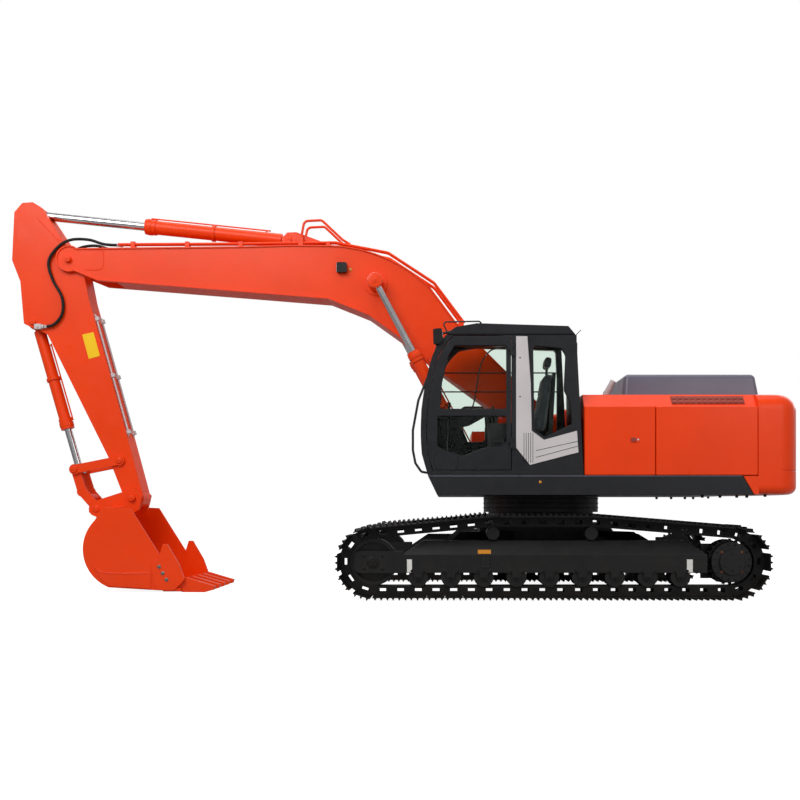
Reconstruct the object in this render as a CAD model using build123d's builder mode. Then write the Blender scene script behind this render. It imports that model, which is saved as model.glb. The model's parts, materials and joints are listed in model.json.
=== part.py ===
from build123d import *
import math
import os

# Crawler excavator with a 24 tonne working weight, millimetres.
# X runs to the rear, the operator's left is -Y and Z is up from the ground.
# Every place is given from the swing axis, which stands SWING_X behind the origin.
# The origin is on the ground in the middle of the machine's whole length.

os.makedirs("parts", exist_ok=True)

# Placing and fits
SWING_X = 1714
GAP = 5
PIN_GAP = 0.3
SEAT_GAP = 0.3

# Tracks
TRACK_GAUGE = 2590
SHOE_WIDTH = 600
SHOE_LENGTH = 188
SHOE_PLATE = 12
GROUSER_HEIGHT = 28
GROUSER_BASE = 30
GROUSER_SPREAD = 66
SHOE_COUNT = 50
LINK_OUT = 55
LINK_IN = 50
LINK_SINK = 5
CHAIN_WIDTH = 190
LINK_WINDOW = (78, 44)
IDLER_X = -1930
SPROCKET_X = 1910
PITCH_RADIUS = 305
PITCH_LOW_Z = LINK_OUT + SHOE_PLATE + GROUSER_HEIGHT
AXLE_Z = PITCH_LOW_Z + PITCH_RADIUS
TOP_RUN_Z = 828
CARRIER_XS = (-650, 420)
RAIL_RADIUS = PITCH_RADIUS - LINK_IN

# Rollers, idlers and sprockets
ROLLER_COUNT = 9
ROLLER_PITCH = 352
ROLLER_MIDDLE_X = -40
ROLLER_RADIUS = 92
ROLLER_FLANGE = 14
FLANGE_WIDTH = 22
ROLLER_HALF_LENGTH = 145
ROLLER_END_RADIUS = 40
SADDLE_THICKNESS = 14
CARRIER_RADIUS = 70
SADDLE_WIDTH = 90
IDLER_HUB_RADIUS = 85
IDLER_HALF_WIDTH = 82
SPROCKET_TEETH = 21
SPROCKET_TOOTH = 30
SPROCKET_HALF_WIDTH = 34
DRIVE_RADIUS = 215
DRIVE_HALF_WIDTH = 150
DRIVE_CAP_RADIUS = 133
DRIVE_CAP_HEIGHT = 30

# Track frames and centre frame
FRAME_HALF_WIDTH = 145
CHANNEL_HALF_WIDTH = 130
FRAME_LOW_Z = 285
FRAME_SHOULDER_Z = 480
FRAME_INNER_Z = 560
FRAME_TOP_Z = 630
FRAME_RIDGE_HALF = 62
FRAME_END_SLOPE = 220
FRAME_FRONT_X = -1610
FRAME_REAR_X = 1650
FORK_FRONT_X = -2130
FORK_HALF_HEIGHT = 118
FORK_THICKNESS = 34
FORK_CORNER = 70
BRACKET_HALF_HEIGHT = 190
BRACKET_RIM = 25
CENTRE_HALF_X = 760
CENTRE_HALF_Y = 620
CENTRE_LOW_Z = 470
CENTRE_TOP_Z = 800
TOW_EYE_RADIUS = 35
TOW_EYE_OUT = 90
TOW_EYE_Z = 590
TOW_EYE_THICKNESS = 50
LEG_WIDTH = 330
LEG_FOOT_X = 1010
BEARING_RADIUS = 690
BEARING_BORE = 480
BEARING_LOW_Z = 930
DECK_LOW_Z = 1121

# Revolving deck
HOUSE_HALF_WIDTH = 1370
FLOOR_TOP_Z = 1160
DECK_TOP_Z = 1325
SKIRT_THICKNESS = 110
HOUSE_FRONT_X = -1343
HOUSE_FRONT_LOW_X = -1245
HOUSE_REAR_X = 2220
TAIL_RADIUS = 2930
TAIL_CORNER = 260
TAIL_TOP_ROUND = 170
TAIL_LOW_ROUND = 90
TAIL_GROOVE_Z = 1380
TAIL_GROOVE = (14, 10)
SKIRT_REAR_X = (2050, 2168)
BODY_TOP_Z = 2220
BODY_BEVEL = 140
BODY_WALL = 30
DOOR_THICKNESS = 40
PANEL_SPLIT_X = 1113
CAB_REAR_X = 335
PANEL_GAP = 8
BOOM_PLATE = 30
FOOT_PLATE_Y = 215

# Cab
CAB_FRONT_EDGE = ((-1410, 1560), (-1408, 2090), (-1297, 2618), (-1192, 2798), (-1041, 2934))
CAB_ROOF_EDGE = ((-815, 2973), (170, 2943), (257, 2840))
DOOR_UPPER_WINDOW = (
    (-1220, 2045), (-1200, 2330), (-1130, 2620), (-1060, 2736), (-492, 2736), (-492, 2045)
)
DOOR_LOWER_WINDOW = (
    (-1245, 1975), (-1248, 1640), (-1150, 1598), (-977, 1535), (-772, 1612), (-492, 1682),
    (-492, 1975)
)
REAR_SIDE_WINDOW = (
    (-215, 2735), (95, 2705), (146, 2627), (128, 2251), (195, 2120), (215, 1880), (-85, 1740),
    (-200, 1815)
)
CAB_TRIM = (
    (-394, 2831), (-273, 2831), (-236, 2313), (-226, 1813), (-94, 1715), (262, 1813), (278, 1580),
    (-244, 1444), (-394, 1630)
)
CAB_TRIM_THICKNESS = 10
BOW_RAIL_ROUTE = (
    (-1100, 2885), (-1262, 2850), (-1243, 2735), (-1340, 2412), (-1448, 2143), (-1507, 1820),
    (-1507, 1605), (-1480, 1465), (-1416, 1372), (-1300, 1352)
)
BOW_RAIL_RADIUS = 13
ROOF_RAIL_ROUTE = ((-1120, 2850), (-1190, 2990), (-785, 2998), (-740, 2930))
ROOF_RAIL_RADIUS = 8
WINDOW_BAR_X = (-1290, 200)
WINDOW_BAR_ZS = (2338, 2560)
WINDOW_BAR_RADIUS = 8
WINDOW_BAR_IN = 12
DECK_RAIL_ROUTE = (
    (-1250, 1380), (-1230, 2050), (-900, 2330), (-120, 2330), (-90, 2100)
)
DECK_RAIL_RADIUS = 16
MIRROR_OUTLINE = ((-1290, 2905), (-1195, 2915), (-1182, 2790), (-1215, 2745), (-1285, 2750))
ROOF_CAPS = ((-126, 22, 14), (46, 45, 18))
AERIAL_X = (180, 305)
AERIAL_Z = (2885, 2915)
CAB_WIDTH = 940
CAB_WALL = 60
DOOR_REAR_X = -440
DOOR_HINGE_ZS = (1620, 2620)
HINGE_RADIUS = 14
HINGE_LENGTH = 60
HINGE_LEAF = 45
HINGE_OUT = 20
GLASS = 8

# Engine hood, exhaust and grilles
HOOD_BASE_X = (852, 2410)
HOOD_TOP_X = (880, 2370)
HOOD_BASE_HALF = 830
HOOD_TOP_HALF = 780
HOOD_TOP_Z = 2502
HOOD_WALL = 30
HOOD_ROUND = 60
EXHAUST_ROUTE = ((690, 2220.3), (690, 2270), (790, 2450))
EXHAUST_Y = -560
EXHAUST_RADIUS = 34
GRILLE_X = (1300, 2090)
GRILLE_WIDTH = 120
GRILLE_PLATE = 8
GRILLE_SLAT = 9
GRILLE_COUNT = 12

# Boom outline seen from the left: tip, top edge, knee, foot and bottom edge
BOOM_TIP_EDGE = ((-5600, 3815), (-5815, 3960), (-5560, 4085))
BOOM_TOP_EDGE = ((-3577, 4108), (-2993, 4124), (-2505, 4120))
BOOM_KNEE_EDGE = ((-2505, 4120), (-1850, 3965), (-1334, 3614))
BOOM_NECK = (-1036, 3212)
BOOM_FOOT_EDGE = ((180, 2010), (160, 1790), (-60, 1760))
BOOM_BOTTOM_EDGE = (
    (-1147, 2557), (-1670, 2995), (-2078, 3287), (-2554, 3477), (-3577, 3560), (-5311, 3697)
)
BOOM_FORK_SLOT = ((-6200, 4400), (-5330, 4400), (-5050, 3550), (-5050, 3300), (-6200, 3300))
CROWD_EARS = ((-3114, 4085), (-3124, 4235), (-3064, 4300), (-2954, 4305), (-2360, 4085))
LIFT_PAD = (140, 8)
LAMP_BOX = ((-2450, -2330), (3785, 3905))
LAMP_DEPTH = 52

# Pipes on the boom, hoses over its tip, pipes behind the arm
PIPE_RADIUS = 15
PIPE_YS = (-160, -120, 120, 160)
PIPE_CLAMP_Y = (98, 182)
PIPE_ROUTE = (
    (-5080, 4140), (-3577, 4149), (-2480, 4163), (-1990, 4070), (-1840, 4040), (-1290, 3680),
    (-930, 3200)
)
PIPE_ARCH = ((-2890, 4210), (-2850, 4425), (-2640, 4435), (-2390, 4200), (-2300, 4146))
PIPE_ARCH_Y = 140
PIPE_BEND = 120
PIPE_ARCH_BEND = 60
HOSE_BEND = 55
PIPE_CLAMP_XS = (-4900, -4250, -3610, -2560)
HOSE_RADIUS = 17
HOSE_ROUTE = (
    (-5081.3, -120, 4140), (-5260, -125, 4150), (-5440, -140, 4200), (-5640, -175, 4190),
    (-5790, -182, 4105), (-5905, -182, 3930), (-5860, -182, 3720), (-5745, -182, 3500),
    (-5745, -182, 3300), (-5850, -182, 3170), (-5990, -182, 3150)
)
HOSE_BLOCK = ((-6070, -5990), (3120, 3180))
ARM_PIPE_ROUTE = ((-5450, 3318), (-5371, 3300), (-4965, 1850), (-5040, 1828))
ARM_PIPE_RADIUS = 11
ARM_PIPE_Y = 100
ARM_PIPE_CLAMPS = (0.03, 0.5, 0.97)

# Arm, bucket and teeth outlines seen from the left
ARM_OUTLINE = (
    (-6235, 4640), (-6330, 4530), (-6357, 3953), (-6258, 3697), (-6215, 3190), (-5930, 3060),
    (-5200, 1587), (-5030, 1150), (-4790, 1150), (-4960, 1780), (-5435, 3480), (-5490, 3760),
    (-5725, 4158), (-6010, 4590), (-6110, 4650)
)
ARM_CORNER = 25
ARM_NOSE_RADIUS = 125
ARM_TOP_SLOT = ((-6600, 4900), (-5700, 4900), (-5960, 4330), (-6600, 4200))
BUCKET_TOP = ((-4800, 975), (-5120, 990), (-5208, 840))
BUCKET_BACK = ((-5208, 840), (-5347, 465), (-5049, 61))
BUCKET_MOUTH = ((-5049, 61), (-4390, 22), (-4300, 180), (-4800, 975))
HOLLOW_TOP = ((-4600, 1100), (-5100, 958), (-5178, 825))
HOLLOW_BACK = ((-5178, 825), (-5313, 465), (-5040, 94))
HOLLOW_MOUTH = ((-5040, 94), (-4380, 54), (-3900, 60), (-4600, 1100))
SIDE_CUTTER = (
    (-4560, 330), (-4470, 400), (-4420, 560), (-4370, 560), (-4235, 330), (-4170, 150),
    (-4290, 25), (-4500, 30)
)
SIDE_CUTTER_OUT = 14
WEAR_BAND = ((-5218, 300), (-5085, 232), (-4560, 232), (-4560, 45), (-5030, 72), (-5140, 160))
WEAR_BAND_OUT = 8
LIP_X = (-4420, -4215)
LIP_Z = (14, 54)
TOOTH_HALF_WIDTH = 42
TOOTH_OUTLINE = (
    (-4214.7, 4), (-4214.7, 54.3), (-4378, 54.3), (-4370, 92), (-4255, 150), (-4160, 170),
    (-3830, 72), (-3845, 30), (-3950, 2)
)
BUCKET_EAR = (
    (-4780, 1130), (-4880, 1215), (-5400, 1045), (-5420, 930), (-5330, 870), (-5230, 700),
    (-4820, 960)
)
BUCKET_EAR_PLATE = 40
BUCKET_EAR_RADIUS = 88

# Working equipment, pins seen from the left as (x, z)
BOOM_FOOT = (-50, 1910)
BOOM_TIP = (-5666, 3953)
LIFT_FOOT = (-800, 1450)
LIFT_HEAD = (-1986, 3657)
CROWD_FOOT = (-3044, 4215)
CROWD_HEAD = (-6158, 4536)
BUCKET_PIN = (-4901, 1097)
ROCKER_PIN = (-5063, 1549)
ROCKER_END = (-5599, 1442)
LINK_PIN = (-5332, 967)
CURL_FOOT = (-6110, 3215)
BOOM_HALF_WIDTH = 190
FLANGE_OVERHANG = 15
FLANGE_PLATE = 16
ARM_HALF_WIDTH = 150
FORK_SLOT_HALF = ARM_HALF_WIDTH + 10
BUCKET_HALF_WIDTH = 590
BUCKET_SIDE = 30
ROCKER_PLATE = 28
LINK_CHEEK = 26
LINK_RADIUS = 62
LINK_BOW = 60
CROSS_TUBE_RADIUS = 50
TOOTH_COUNT = 5

# Cylinders: half distance between a pair, barrel and rod radius, eye radius and half width
LIFT_Y = 335
LIFT_EYE_HALF_WIDTH = 70
LIFT_BARREL = 70
LIFT_ROD = 42
CROWD_BARREL = 82
CROWD_ROD = 50
CURL_BARREL = 68
CURL_ROD = 42
EYE_RADIUS = 88
EYE_HALF_WIDTH = 60
PIN_RADIUS = 40
LIFT_BARREL_LENGTH = 1560
CROWD_BARREL_LENGTH = 1755
CURL_BARREL_LENGTH = 1330


def side_plane(y=0.0):
    """Upright plane seen from the left: x to the rear, y up, normal to the left."""
    return Plane(origin=(SWING_X, y, 0), x_dir=(1, 0, 0), z_dir=(0, -1, 0))


def cross_plane(x=0.0):
    """Upright plane across the machine: x to the right side, y up, normal to the rear."""
    return Plane(origin=(SWING_X + x, 0, 0), x_dir=(0, 1, 0), z_dir=(1, 0, 0))


def level_plane(z=0.0):
    """Level plane with its origin on the swing axis."""
    return Plane(origin=(SWING_X, 0, z), x_dir=(1, 0, 0), z_dir=(0, 0, 1))


def between(start, end, share):
    """Point at a share of the way from start to end."""
    return tuple(a + (b - a) * share for a, b in zip(start, end))


def direction(start, end):
    """Angle in degrees of the line from start to end."""
    return math.degrees(math.atan2(end[1] - start[1], end[0] - start[0]))


def length_of(start, end):
    """Distance between two points of a side view."""
    return math.hypot(end[0] - start[0], end[1] - start[1])


def touch_point(centre, radius, outside, side):
    """Where a line from an outside point touches a circle, on the side +1 or -1."""
    reach = length_of(centre, outside)
    angle = math.radians(direction(centre, outside)) + side * math.acos(radius / reach)
    return (centre[0] + radius * math.cos(angle), centre[1] + radius * math.sin(angle))


def level_box(x_range, y_range, z_range, mode=Mode.ADD):
    """Box between two values on each axis, given from the swing axis, for an open part."""
    size = [high - low for low, high in (x_range, y_range, z_range)]
    middle = [(low + high) / 2 for low, high in (x_range, y_range, z_range)]
    with Locations((SWING_X + middle[0], middle[1], middle[2])):
        Box(*size, mode=mode)


# Undercarriage: tracks
def track_line():
    """Closed line through the chain's pins, seen from the side, running rearwards below."""
    idler = (IDLER_X, AXLE_Z)
    sprocket = (SPROCKET_X, AXLE_Z)
    front_top = (CARRIER_XS[0], TOP_RUN_Z)
    rear_top = (CARRIER_XS[1], TOP_RUN_Z)
    sprocket_touch = touch_point(sprocket, PITCH_RADIUS, rear_top, -1)
    idler_touch = touch_point(idler, PITCH_RADIUS, front_top, 1)
    with BuildLine() as line:
        Line((IDLER_X, PITCH_LOW_Z), (SPROCKET_X, PITCH_LOW_Z))
        ThreePointArc(
            (SPROCKET_X, PITCH_LOW_Z), (SPROCKET_X + PITCH_RADIUS, AXLE_Z), sprocket_touch
        )
        Line(sprocket_touch, rear_top)
        Line(rear_top, front_top)
        Line(front_top, idler_touch)
        ThreePointArc(idler_touch, (IDLER_X - PITCH_RADIUS, AXLE_Z), (IDLER_X, PITCH_LOW_Z))
    return line.wires()[0]


def shoe_profile():
    """Outline of one triple grouser shoe: x along the chain, -y away from it."""
    plate_low = -LINK_OUT - SHOE_PLATE
    tip = plate_low - GROUSER_HEIGHT
    points = [(SHOE_LENGTH / 2, -LINK_OUT), (-SHOE_LENGTH / 2, -LINK_OUT)]
    for middle in (-GROUSER_SPREAD, 0, GROUSER_SPREAD):
        points += [
            (middle - GROUSER_BASE / 2, plate_low),
            (middle, tip),
            (middle + GROUSER_BASE / 2, plate_low),
        ]
    points.insert(2, (-SHOE_LENGTH / 2, plate_low))
    points.append((SHOE_LENGTH / 2, plate_low))
    return points


track_pins = track_line()
shoe_places = []
for shoe in range(SHOE_COUNT):
    share = (shoe + 0.5) / SHOE_COUNT
    place = track_pins.position_at(share)
    heading = track_pins.tangent_at(share)
    angle = math.degrees(math.atan2(heading.Y, heading.X))
    shoe_places.append(Location((place.X, place.Y, 0), (0, 0, angle)))

with BuildSketch() as chain_inside:
    with BuildLine():
        add(track_pins)
    make_face()
    offset(amount=-LINK_IN, kind=Kind.ARC)

with BuildSketch() as chain_side:
    with BuildLine():
        add(track_pins)
    make_face()
    offset(amount=LINK_OUT + LINK_SINK, kind=Kind.ARC)
    add(chain_inside.sketch, mode=Mode.SUBTRACT)
    with Locations(*shoe_places):
        Rectangle(*LINK_WINDOW, mode=Mode.SUBTRACT)

tracks = {}
for side_name, side in (("left", -1), ("right", 1)):
    track_middle = side * TRACK_GAUGE / 2
    with BuildPart() as track:
        with BuildSketch(side_plane(track_middle)):
            with Locations(*shoe_places):
                Polygon(*shoe_profile(), align=None)
        extrude(amount=SHOE_WIDTH / 2, both=True)
        with BuildSketch(side_plane(track_middle)):
            add(chain_side.sketch)
        extrude(amount=CHAIN_WIDTH / 2, both=True)
    tracks[side_name] = track

# Undercarriage: rollers, idlers and sprockets
roller_z = PITCH_LOW_Z + LINK_IN + ROLLER_RADIUS + SEAT_GAP
roller_xs = [
    ROLLER_MIDDLE_X + ROLLER_PITCH * (number - (ROLLER_COUNT - 1) / 2)
    for number in range(ROLLER_COUNT)
]
rail_half = CHAIN_WIDTH / 2

# A carrier roller touches both runs of the chain that meet above it
carrier_drop = LINK_IN + CARRIER_RADIUS + SEAT_GAP
carrier_z = TOP_RUN_Z - carrier_drop
carrier_places = []
for corner_x, wheel_x, turn in ((CARRIER_XS[0], IDLER_X, 1), (CARRIER_XS[1], SPROCKET_X, -1)):
    run_end = touch_point((wheel_x, AXLE_Z), PITCH_RADIUS, (corner_x, TOP_RUN_Z), turn)
    slope = math.atan2(TOP_RUN_Z - run_end[1], abs(corner_x - run_end[0]))
    carrier_places.append(corner_x + turn * carrier_drop * math.tan(slope / 2))

with BuildPart() as bottom_rollers:
    for side in (-1, 1):
        middle = side * TRACK_GAUGE / 2
        with BuildSketch(side_plane(middle)):
            with Locations(*[(x, roller_z) for x in roller_xs]):
                Circle(ROLLER_RADIUS)
        extrude(amount=rail_half + GAP, both=True)
        for flange_y in (-rail_half - GAP - FLANGE_WIDTH, rail_half + GAP):
            with BuildSketch(side_plane(middle + flange_y)):
                with Locations(*[(x, roller_z) for x in roller_xs]):
                    Circle(ROLLER_RADIUS + ROLLER_FLANGE)
            extrude(amount=-FLANGE_WIDTH)
        with BuildSketch(side_plane(middle)):
            with Locations(*[(x, roller_z) for x in roller_xs]):
                Circle(ROLLER_END_RADIUS)
        extrude(amount=ROLLER_HALF_LENGTH, both=True)
        # End blocks under the track frame's two walls
        for end_y in (-ROLLER_HALF_LENGTH, ROLLER_HALF_LENGTH - SADDLE_THICKNESS):
            with BuildSketch(side_plane(middle + end_y)):
                with Locations(*[(x, (roller_z + FRAME_LOW_Z) / 2) for x in roller_xs]):
                    Rectangle(SADDLE_WIDTH, FRAME_LOW_Z - roller_z)
            extrude(amount=-SADDLE_THICKNESS)

with BuildPart() as carrier_rollers:
    for side in (-1, 1):
        middle = side * TRACK_GAUGE / 2
        for x in carrier_places:
            with BuildSketch(side_plane(middle)):
                with Locations((x, carrier_z)):
                    Circle(CARRIER_RADIUS)
            extrude(amount=rail_half, both=True)
            level_box(
                (x - SADDLE_WIDTH / 2, x + SADDLE_WIDTH / 2),
                (middle - FLANGE_WIDTH, middle + FLANGE_WIDTH),
                (FRAME_TOP_Z, carrier_z),
            )

with BuildPart() as idlers:
    for side in (-1, 1):
        middle = side * TRACK_GAUGE / 2
        with BuildSketch(side_plane(middle)):
            with Locations((IDLER_X, AXLE_Z)):
                Circle(RAIL_RADIUS - SEAT_GAP)
        extrude(amount=IDLER_HALF_WIDTH, both=True)
        for face_y, turn in ((-IDLER_HALF_WIDTH, -1), (IDLER_HALF_WIDTH, 1)):
            with BuildSketch(side_plane(middle + face_y)):
                with Locations((IDLER_X, AXLE_Z)):
                    Circle(RAIL_RADIUS - 45)
                    Circle(IDLER_HUB_RADIUS, mode=Mode.SUBTRACT)
            extrude(amount=turn * 40, mode=Mode.SUBTRACT)
        with BuildSketch(side_plane(middle)):
            with Locations((IDLER_X, AXLE_Z)):
                Circle(IDLER_HUB_RADIUS / 2)
        extrude(amount=FRAME_HALF_WIDTH - FORK_THICKNESS - SEAT_GAP, both=True)

with BuildPart() as sprockets:
    tooth_root = RAIL_RADIUS - GAP - SPROCKET_TOOTH
    tooth_half = math.pi * tooth_root / SPROCKET_TEETH / 2
    for side in (-1, 1):
        middle = side * TRACK_GAUGE / 2
        with BuildSketch(side_plane(middle)):
            with Locations((SPROCKET_X, AXLE_Z)):
                Circle(tooth_root + 2)
                with PolarLocations(tooth_root, SPROCKET_TEETH):
                    Polygon(
                        (0, -tooth_half),
                        (SPROCKET_TOOTH, -tooth_half / 3),
                        (SPROCKET_TOOTH, tooth_half / 3),
                        (0, tooth_half),
                        align=None,
                    )
        extrude(amount=SPROCKET_HALF_WIDTH, both=True)
        # Final drive, from the bracket on the inner side to its cover on the outer side
        drive_inner = FRAME_HALF_WIDTH - FORK_THICKNESS - SEAT_GAP
        with BuildSketch(side_plane(middle - side * drive_inner)):
            with Locations((SPROCKET_X, AXLE_Z)):
                Circle(DRIVE_RADIUS)
        extrude(amount=-side * (drive_inner + DRIVE_HALF_WIDTH))
        outer_face = middle + side * DRIVE_HALF_WIDTH
        with BuildSketch(side_plane(outer_face)):
            with Locations((SPROCKET_X, AXLE_Z)):
                Circle(DRIVE_CAP_RADIUS)
        extrude(amount=-side * DRIVE_CAP_HEIGHT)

# Undercarriage: track frames, centre frame and swing bearing
frame_side = [
    (FRAME_FRONT_X, FRAME_LOW_Z),
    (FRAME_REAR_X, FRAME_LOW_Z),
    (FRAME_REAR_X, FRAME_SHOULDER_Z),
    (FRAME_REAR_X - FRAME_END_SLOPE, FRAME_TOP_Z),
    (FRAME_FRONT_X + FRAME_END_SLOPE, FRAME_TOP_Z),
    (FRAME_FRONT_X, FRAME_SHOULDER_Z),
]
with BuildPart() as side_frames:
    for side in (-1, 1):
        middle = side * TRACK_GAUGE / 2
        with BuildSketch(side_plane(middle)):
            Polygon(*frame_side, align=None)
        extrude(amount=FRAME_HALF_WIDTH, both=True)
        # Sloped top plates, low on the outer side and higher on the inner side
        for wall, wall_top_z in ((side, FRAME_SHOULDER_Z), (-side, FRAME_INNER_Z)):
            with BuildSketch(cross_plane(FRAME_FRONT_X - GAP)):
                Polygon(
                    (middle + wall * FRAME_HALF_WIDTH, wall_top_z),
                    (middle + wall * FRAME_RIDGE_HALF, FRAME_TOP_Z),
                    (middle + wall * FRAME_RIDGE_HALF, FRAME_TOP_Z + GAP),
                    (middle + wall * (FRAME_HALF_WIDTH + GAP), FRAME_TOP_Z + GAP),
                    (middle + wall * (FRAME_HALF_WIDTH + GAP), wall_top_z),
                    align=None,
                )
            extrude(amount=FRAME_REAR_X - FRAME_FRONT_X + 2 * GAP, mode=Mode.SUBTRACT)
        # Channel under the frame, in which the rollers turn
        level_box(
            (roller_xs[0] - ROLLER_PITCH / 2, roller_xs[-1] + ROLLER_PITCH / 2),
            (middle - CHANNEL_HALF_WIDTH, middle + CHANNEL_HALF_WIDTH),
            (FRAME_LOW_Z - 1, roller_z + ROLLER_RADIUS + ROLLER_FLANGE + GAP),
            mode=Mode.SUBTRACT,
        )
        for fork_side in (-1, 1):
            fork_middle = fork_side * (FRAME_HALF_WIDTH - FORK_THICKNESS / 2)
            with BuildSketch(side_plane(middle + fork_middle)) as fork:
                with Locations(((FRAME_FRONT_X + FORK_FRONT_X) / 2, AXLE_Z)):
                    Rectangle(FRAME_FRONT_X - FORK_FRONT_X + 2 * GAP, 2 * FORK_HALF_HEIGHT)
                fillet(fork.vertices().sort_by(Axis.X)[:2], FORK_CORNER)
            extrude(amount=FORK_THICKNESS / 2, both=True)
        # Bracket that carries the final drive, on the inner face of the track frame
        with BuildSketch(side_plane(middle - side * FRAME_HALF_WIDTH)):
            with Locations((SPROCKET_X, AXLE_Z)):
                Circle(DRIVE_RADIUS + BRACKET_RIM)
            with Locations(((SPROCKET_X + FRAME_REAR_X) / 2, AXLE_Z)):
                Rectangle(SPROCKET_X - FRAME_REAR_X + 2 * GAP, 2 * BRACKET_HALF_HEIGHT)
        extrude(amount=-side * FORK_THICKNESS)

leg_reach_y = TRACK_GAUGE / 2 - FRAME_HALF_WIDTH
with BuildPart() as centre_frame:
    level_box(
        (-CENTRE_HALF_X, CENTRE_HALF_X),
        (-CENTRE_HALF_Y, CENTRE_HALF_Y),
        (CENTRE_LOW_Z, CENTRE_TOP_Z),
    )
    for end in (-1, 1):
        for side in (-1, 1):
            with BuildSketch(level_plane(CENTRE_LOW_Z - 30)):
                Polygon(
                    (end * (LEG_FOOT_X + LEG_WIDTH / 2), side * leg_reach_y),
                    (end * (LEG_FOOT_X - LEG_WIDTH / 2), side * leg_reach_y),
                    (end * CENTRE_HALF_X / 3, side * CENTRE_HALF_Y * 0.8),
                    (end * CENTRE_HALF_X * 0.95, side * CENTRE_HALF_Y * 0.3),
                    align=None,
                )
            extrude(amount=CENTRE_TOP_Z - CENTRE_LOW_Z - 60)
    # The legs fall away towards the track frames
    for side in (-1, 1):
        with BuildSketch(cross_plane(-LEG_FOOT_X - LEG_WIDTH)):
            Polygon(
                (side * CENTRE_HALF_Y, CENTRE_TOP_Z - 30),
                (side * leg_reach_y, FRAME_INNER_Z - 20),
                (side * leg_reach_y, CENTRE_TOP_Z + 10),
                (side * CENTRE_HALF_Y, CENTRE_TOP_Z + 10),
                align=None,
            )
        extrude(amount=2 * (LEG_FOOT_X + LEG_WIDTH), mode=Mode.SUBTRACT)
    # Towing tongues at the front and the rear of the centre frame, with upright bores
    for end in (-1, 1):
        eye_x = end * (CENTRE_HALF_X + TOW_EYE_OUT)
        with BuildSketch(level_plane(TOW_EYE_Z - TOW_EYE_THICKNESS / 2)):
            with Locations((eye_x, 0)):
                Circle(2 * TOW_EYE_RADIUS)
            with Locations((eye_x - end * TOW_EYE_OUT / 2, 0)):
                Rectangle(TOW_EYE_OUT, 4 * TOW_EYE_RADIUS)
            with Locations((eye_x, 0)):
                Circle(TOW_EYE_RADIUS, mode=Mode.SUBTRACT)
        extrude(amount=TOW_EYE_THICKNESS)
    with BuildSketch(level_plane(CENTRE_TOP_Z - 20)):
        Circle(BEARING_RADIUS - 60)
    extrude(amount=BEARING_LOW_Z - CENTRE_TOP_Z + 20)

with BuildPart() as swing_bearing:
    with BuildSketch(level_plane(BEARING_LOW_Z)):
        Circle(BEARING_RADIUS)
        Circle(BEARING_BORE, mode=Mode.SUBTRACT)
    extrude(amount=DECK_LOW_Z - BEARING_LOW_Z - SEAT_GAP)

# Revolving deck
deck_inner = HOUSE_HALF_WIDTH - SKIRT_THICKNESS
engine_front_x = 950
rail_top_z = FLOOR_TOP_Z + 60
side_bay_y = 430
foot_outer_y = FOOT_PLATE_Y + BOOM_PLATE
lift_ear_y = LIFT_Y + LIFT_EYE_HALF_WIDTH + GAP
with BuildPart() as swing_frame:
    level_box((HOUSE_FRONT_LOW_X, HOUSE_REAR_X), (-deck_inner, deck_inner), (DECK_LOW_Z, FLOOR_TOP_Z))
    # Cross members that carry the cab, the tanks and the housings
    for x in (HOUSE_FRONT_LOW_X + 40, -420, 300, 980):
        for side in (-1, 1):
            level_box(
                (x - 40, x + 40),
                tuple(sorted((side * (lift_ear_y + 40), side * deck_inner))),
                (FLOOR_TOP_Z, DECK_TOP_Z),
            )
    # Main plates with the boom's foot bearing and the lift cylinders' foot bearing
    for side in (-1, 1):
        inner_y = side * FOOT_PLATE_Y
        with BuildSketch(side_plane(inner_y)):
            Polygon(
                (LIFT_FOOT[0] - 240, FLOOR_TOP_Z - 20),
                (LIFT_FOOT[0] - 150, LIFT_FOOT[1] + 60),
                (LIFT_FOOT[0] + 60, LIFT_FOOT[1] + 130),
                (BOOM_FOOT[0] - 150, BOOM_FOOT[1] + 60),
                (BOOM_FOOT[0] - 60, BOOM_FOOT[1] + 130),
                (BOOM_FOOT[0] + 100, BOOM_FOOT[1] + 90),
                (BOOM_FOOT[0] + 330, FLOOR_TOP_Z + 150),
                (engine_front_x - 100, rail_top_z),
                (HOUSE_REAR_X - 60, rail_top_z),
                (HOUSE_REAR_X - 60, FLOOR_TOP_Z - 20),
                align=None,
            )
        extrude(amount=-side * BOOM_PLATE)
        # Outer ear of the lift cylinder's foot
        with BuildSketch(side_plane(side * lift_ear_y)):
            Polygon(
                (LIFT_FOOT[0] - 120, FLOOR_TOP_Z - 20),
                (LIFT_FOOT[0] - 80, LIFT_FOOT[1]),
                (LIFT_FOOT[0] + 80, LIFT_FOOT[1]),
                (LIFT_FOOT[0] + 230, FLOOR_TOP_Z - 20),
                align=None,
            )
            with Locations(LIFT_FOOT):
                Circle(80)
        extrude(amount=-side * 15)
        with BuildSketch(side_plane(side * foot_outer_y)):
            with Locations(LIFT_FOOT):
                Circle(PIN_RADIUS)
        extrude(amount=-side * (lift_ear_y - foot_outer_y))
    # Pin through the boom's foot
    with BuildSketch(side_plane()):
        with Locations(BOOM_FOOT):
            Circle(PIN_RADIUS + 10)
    extrude(amount=foot_outer_y + 20, both=True)

with BuildPart() as side_skirts:
    for side in (-1, 1):
        with BuildSketch(side_plane(side * deck_inner)):
            Polygon(
                (HOUSE_FRONT_LOW_X, DECK_LOW_Z),
                (SKIRT_REAR_X[1], DECK_LOW_Z),
                (SKIRT_REAR_X[0], DECK_TOP_Z),
                (HOUSE_FRONT_X, DECK_TOP_Z),
                align=None,
            )
        extrude(amount=-side * SKIRT_THICKNESS)

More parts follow.
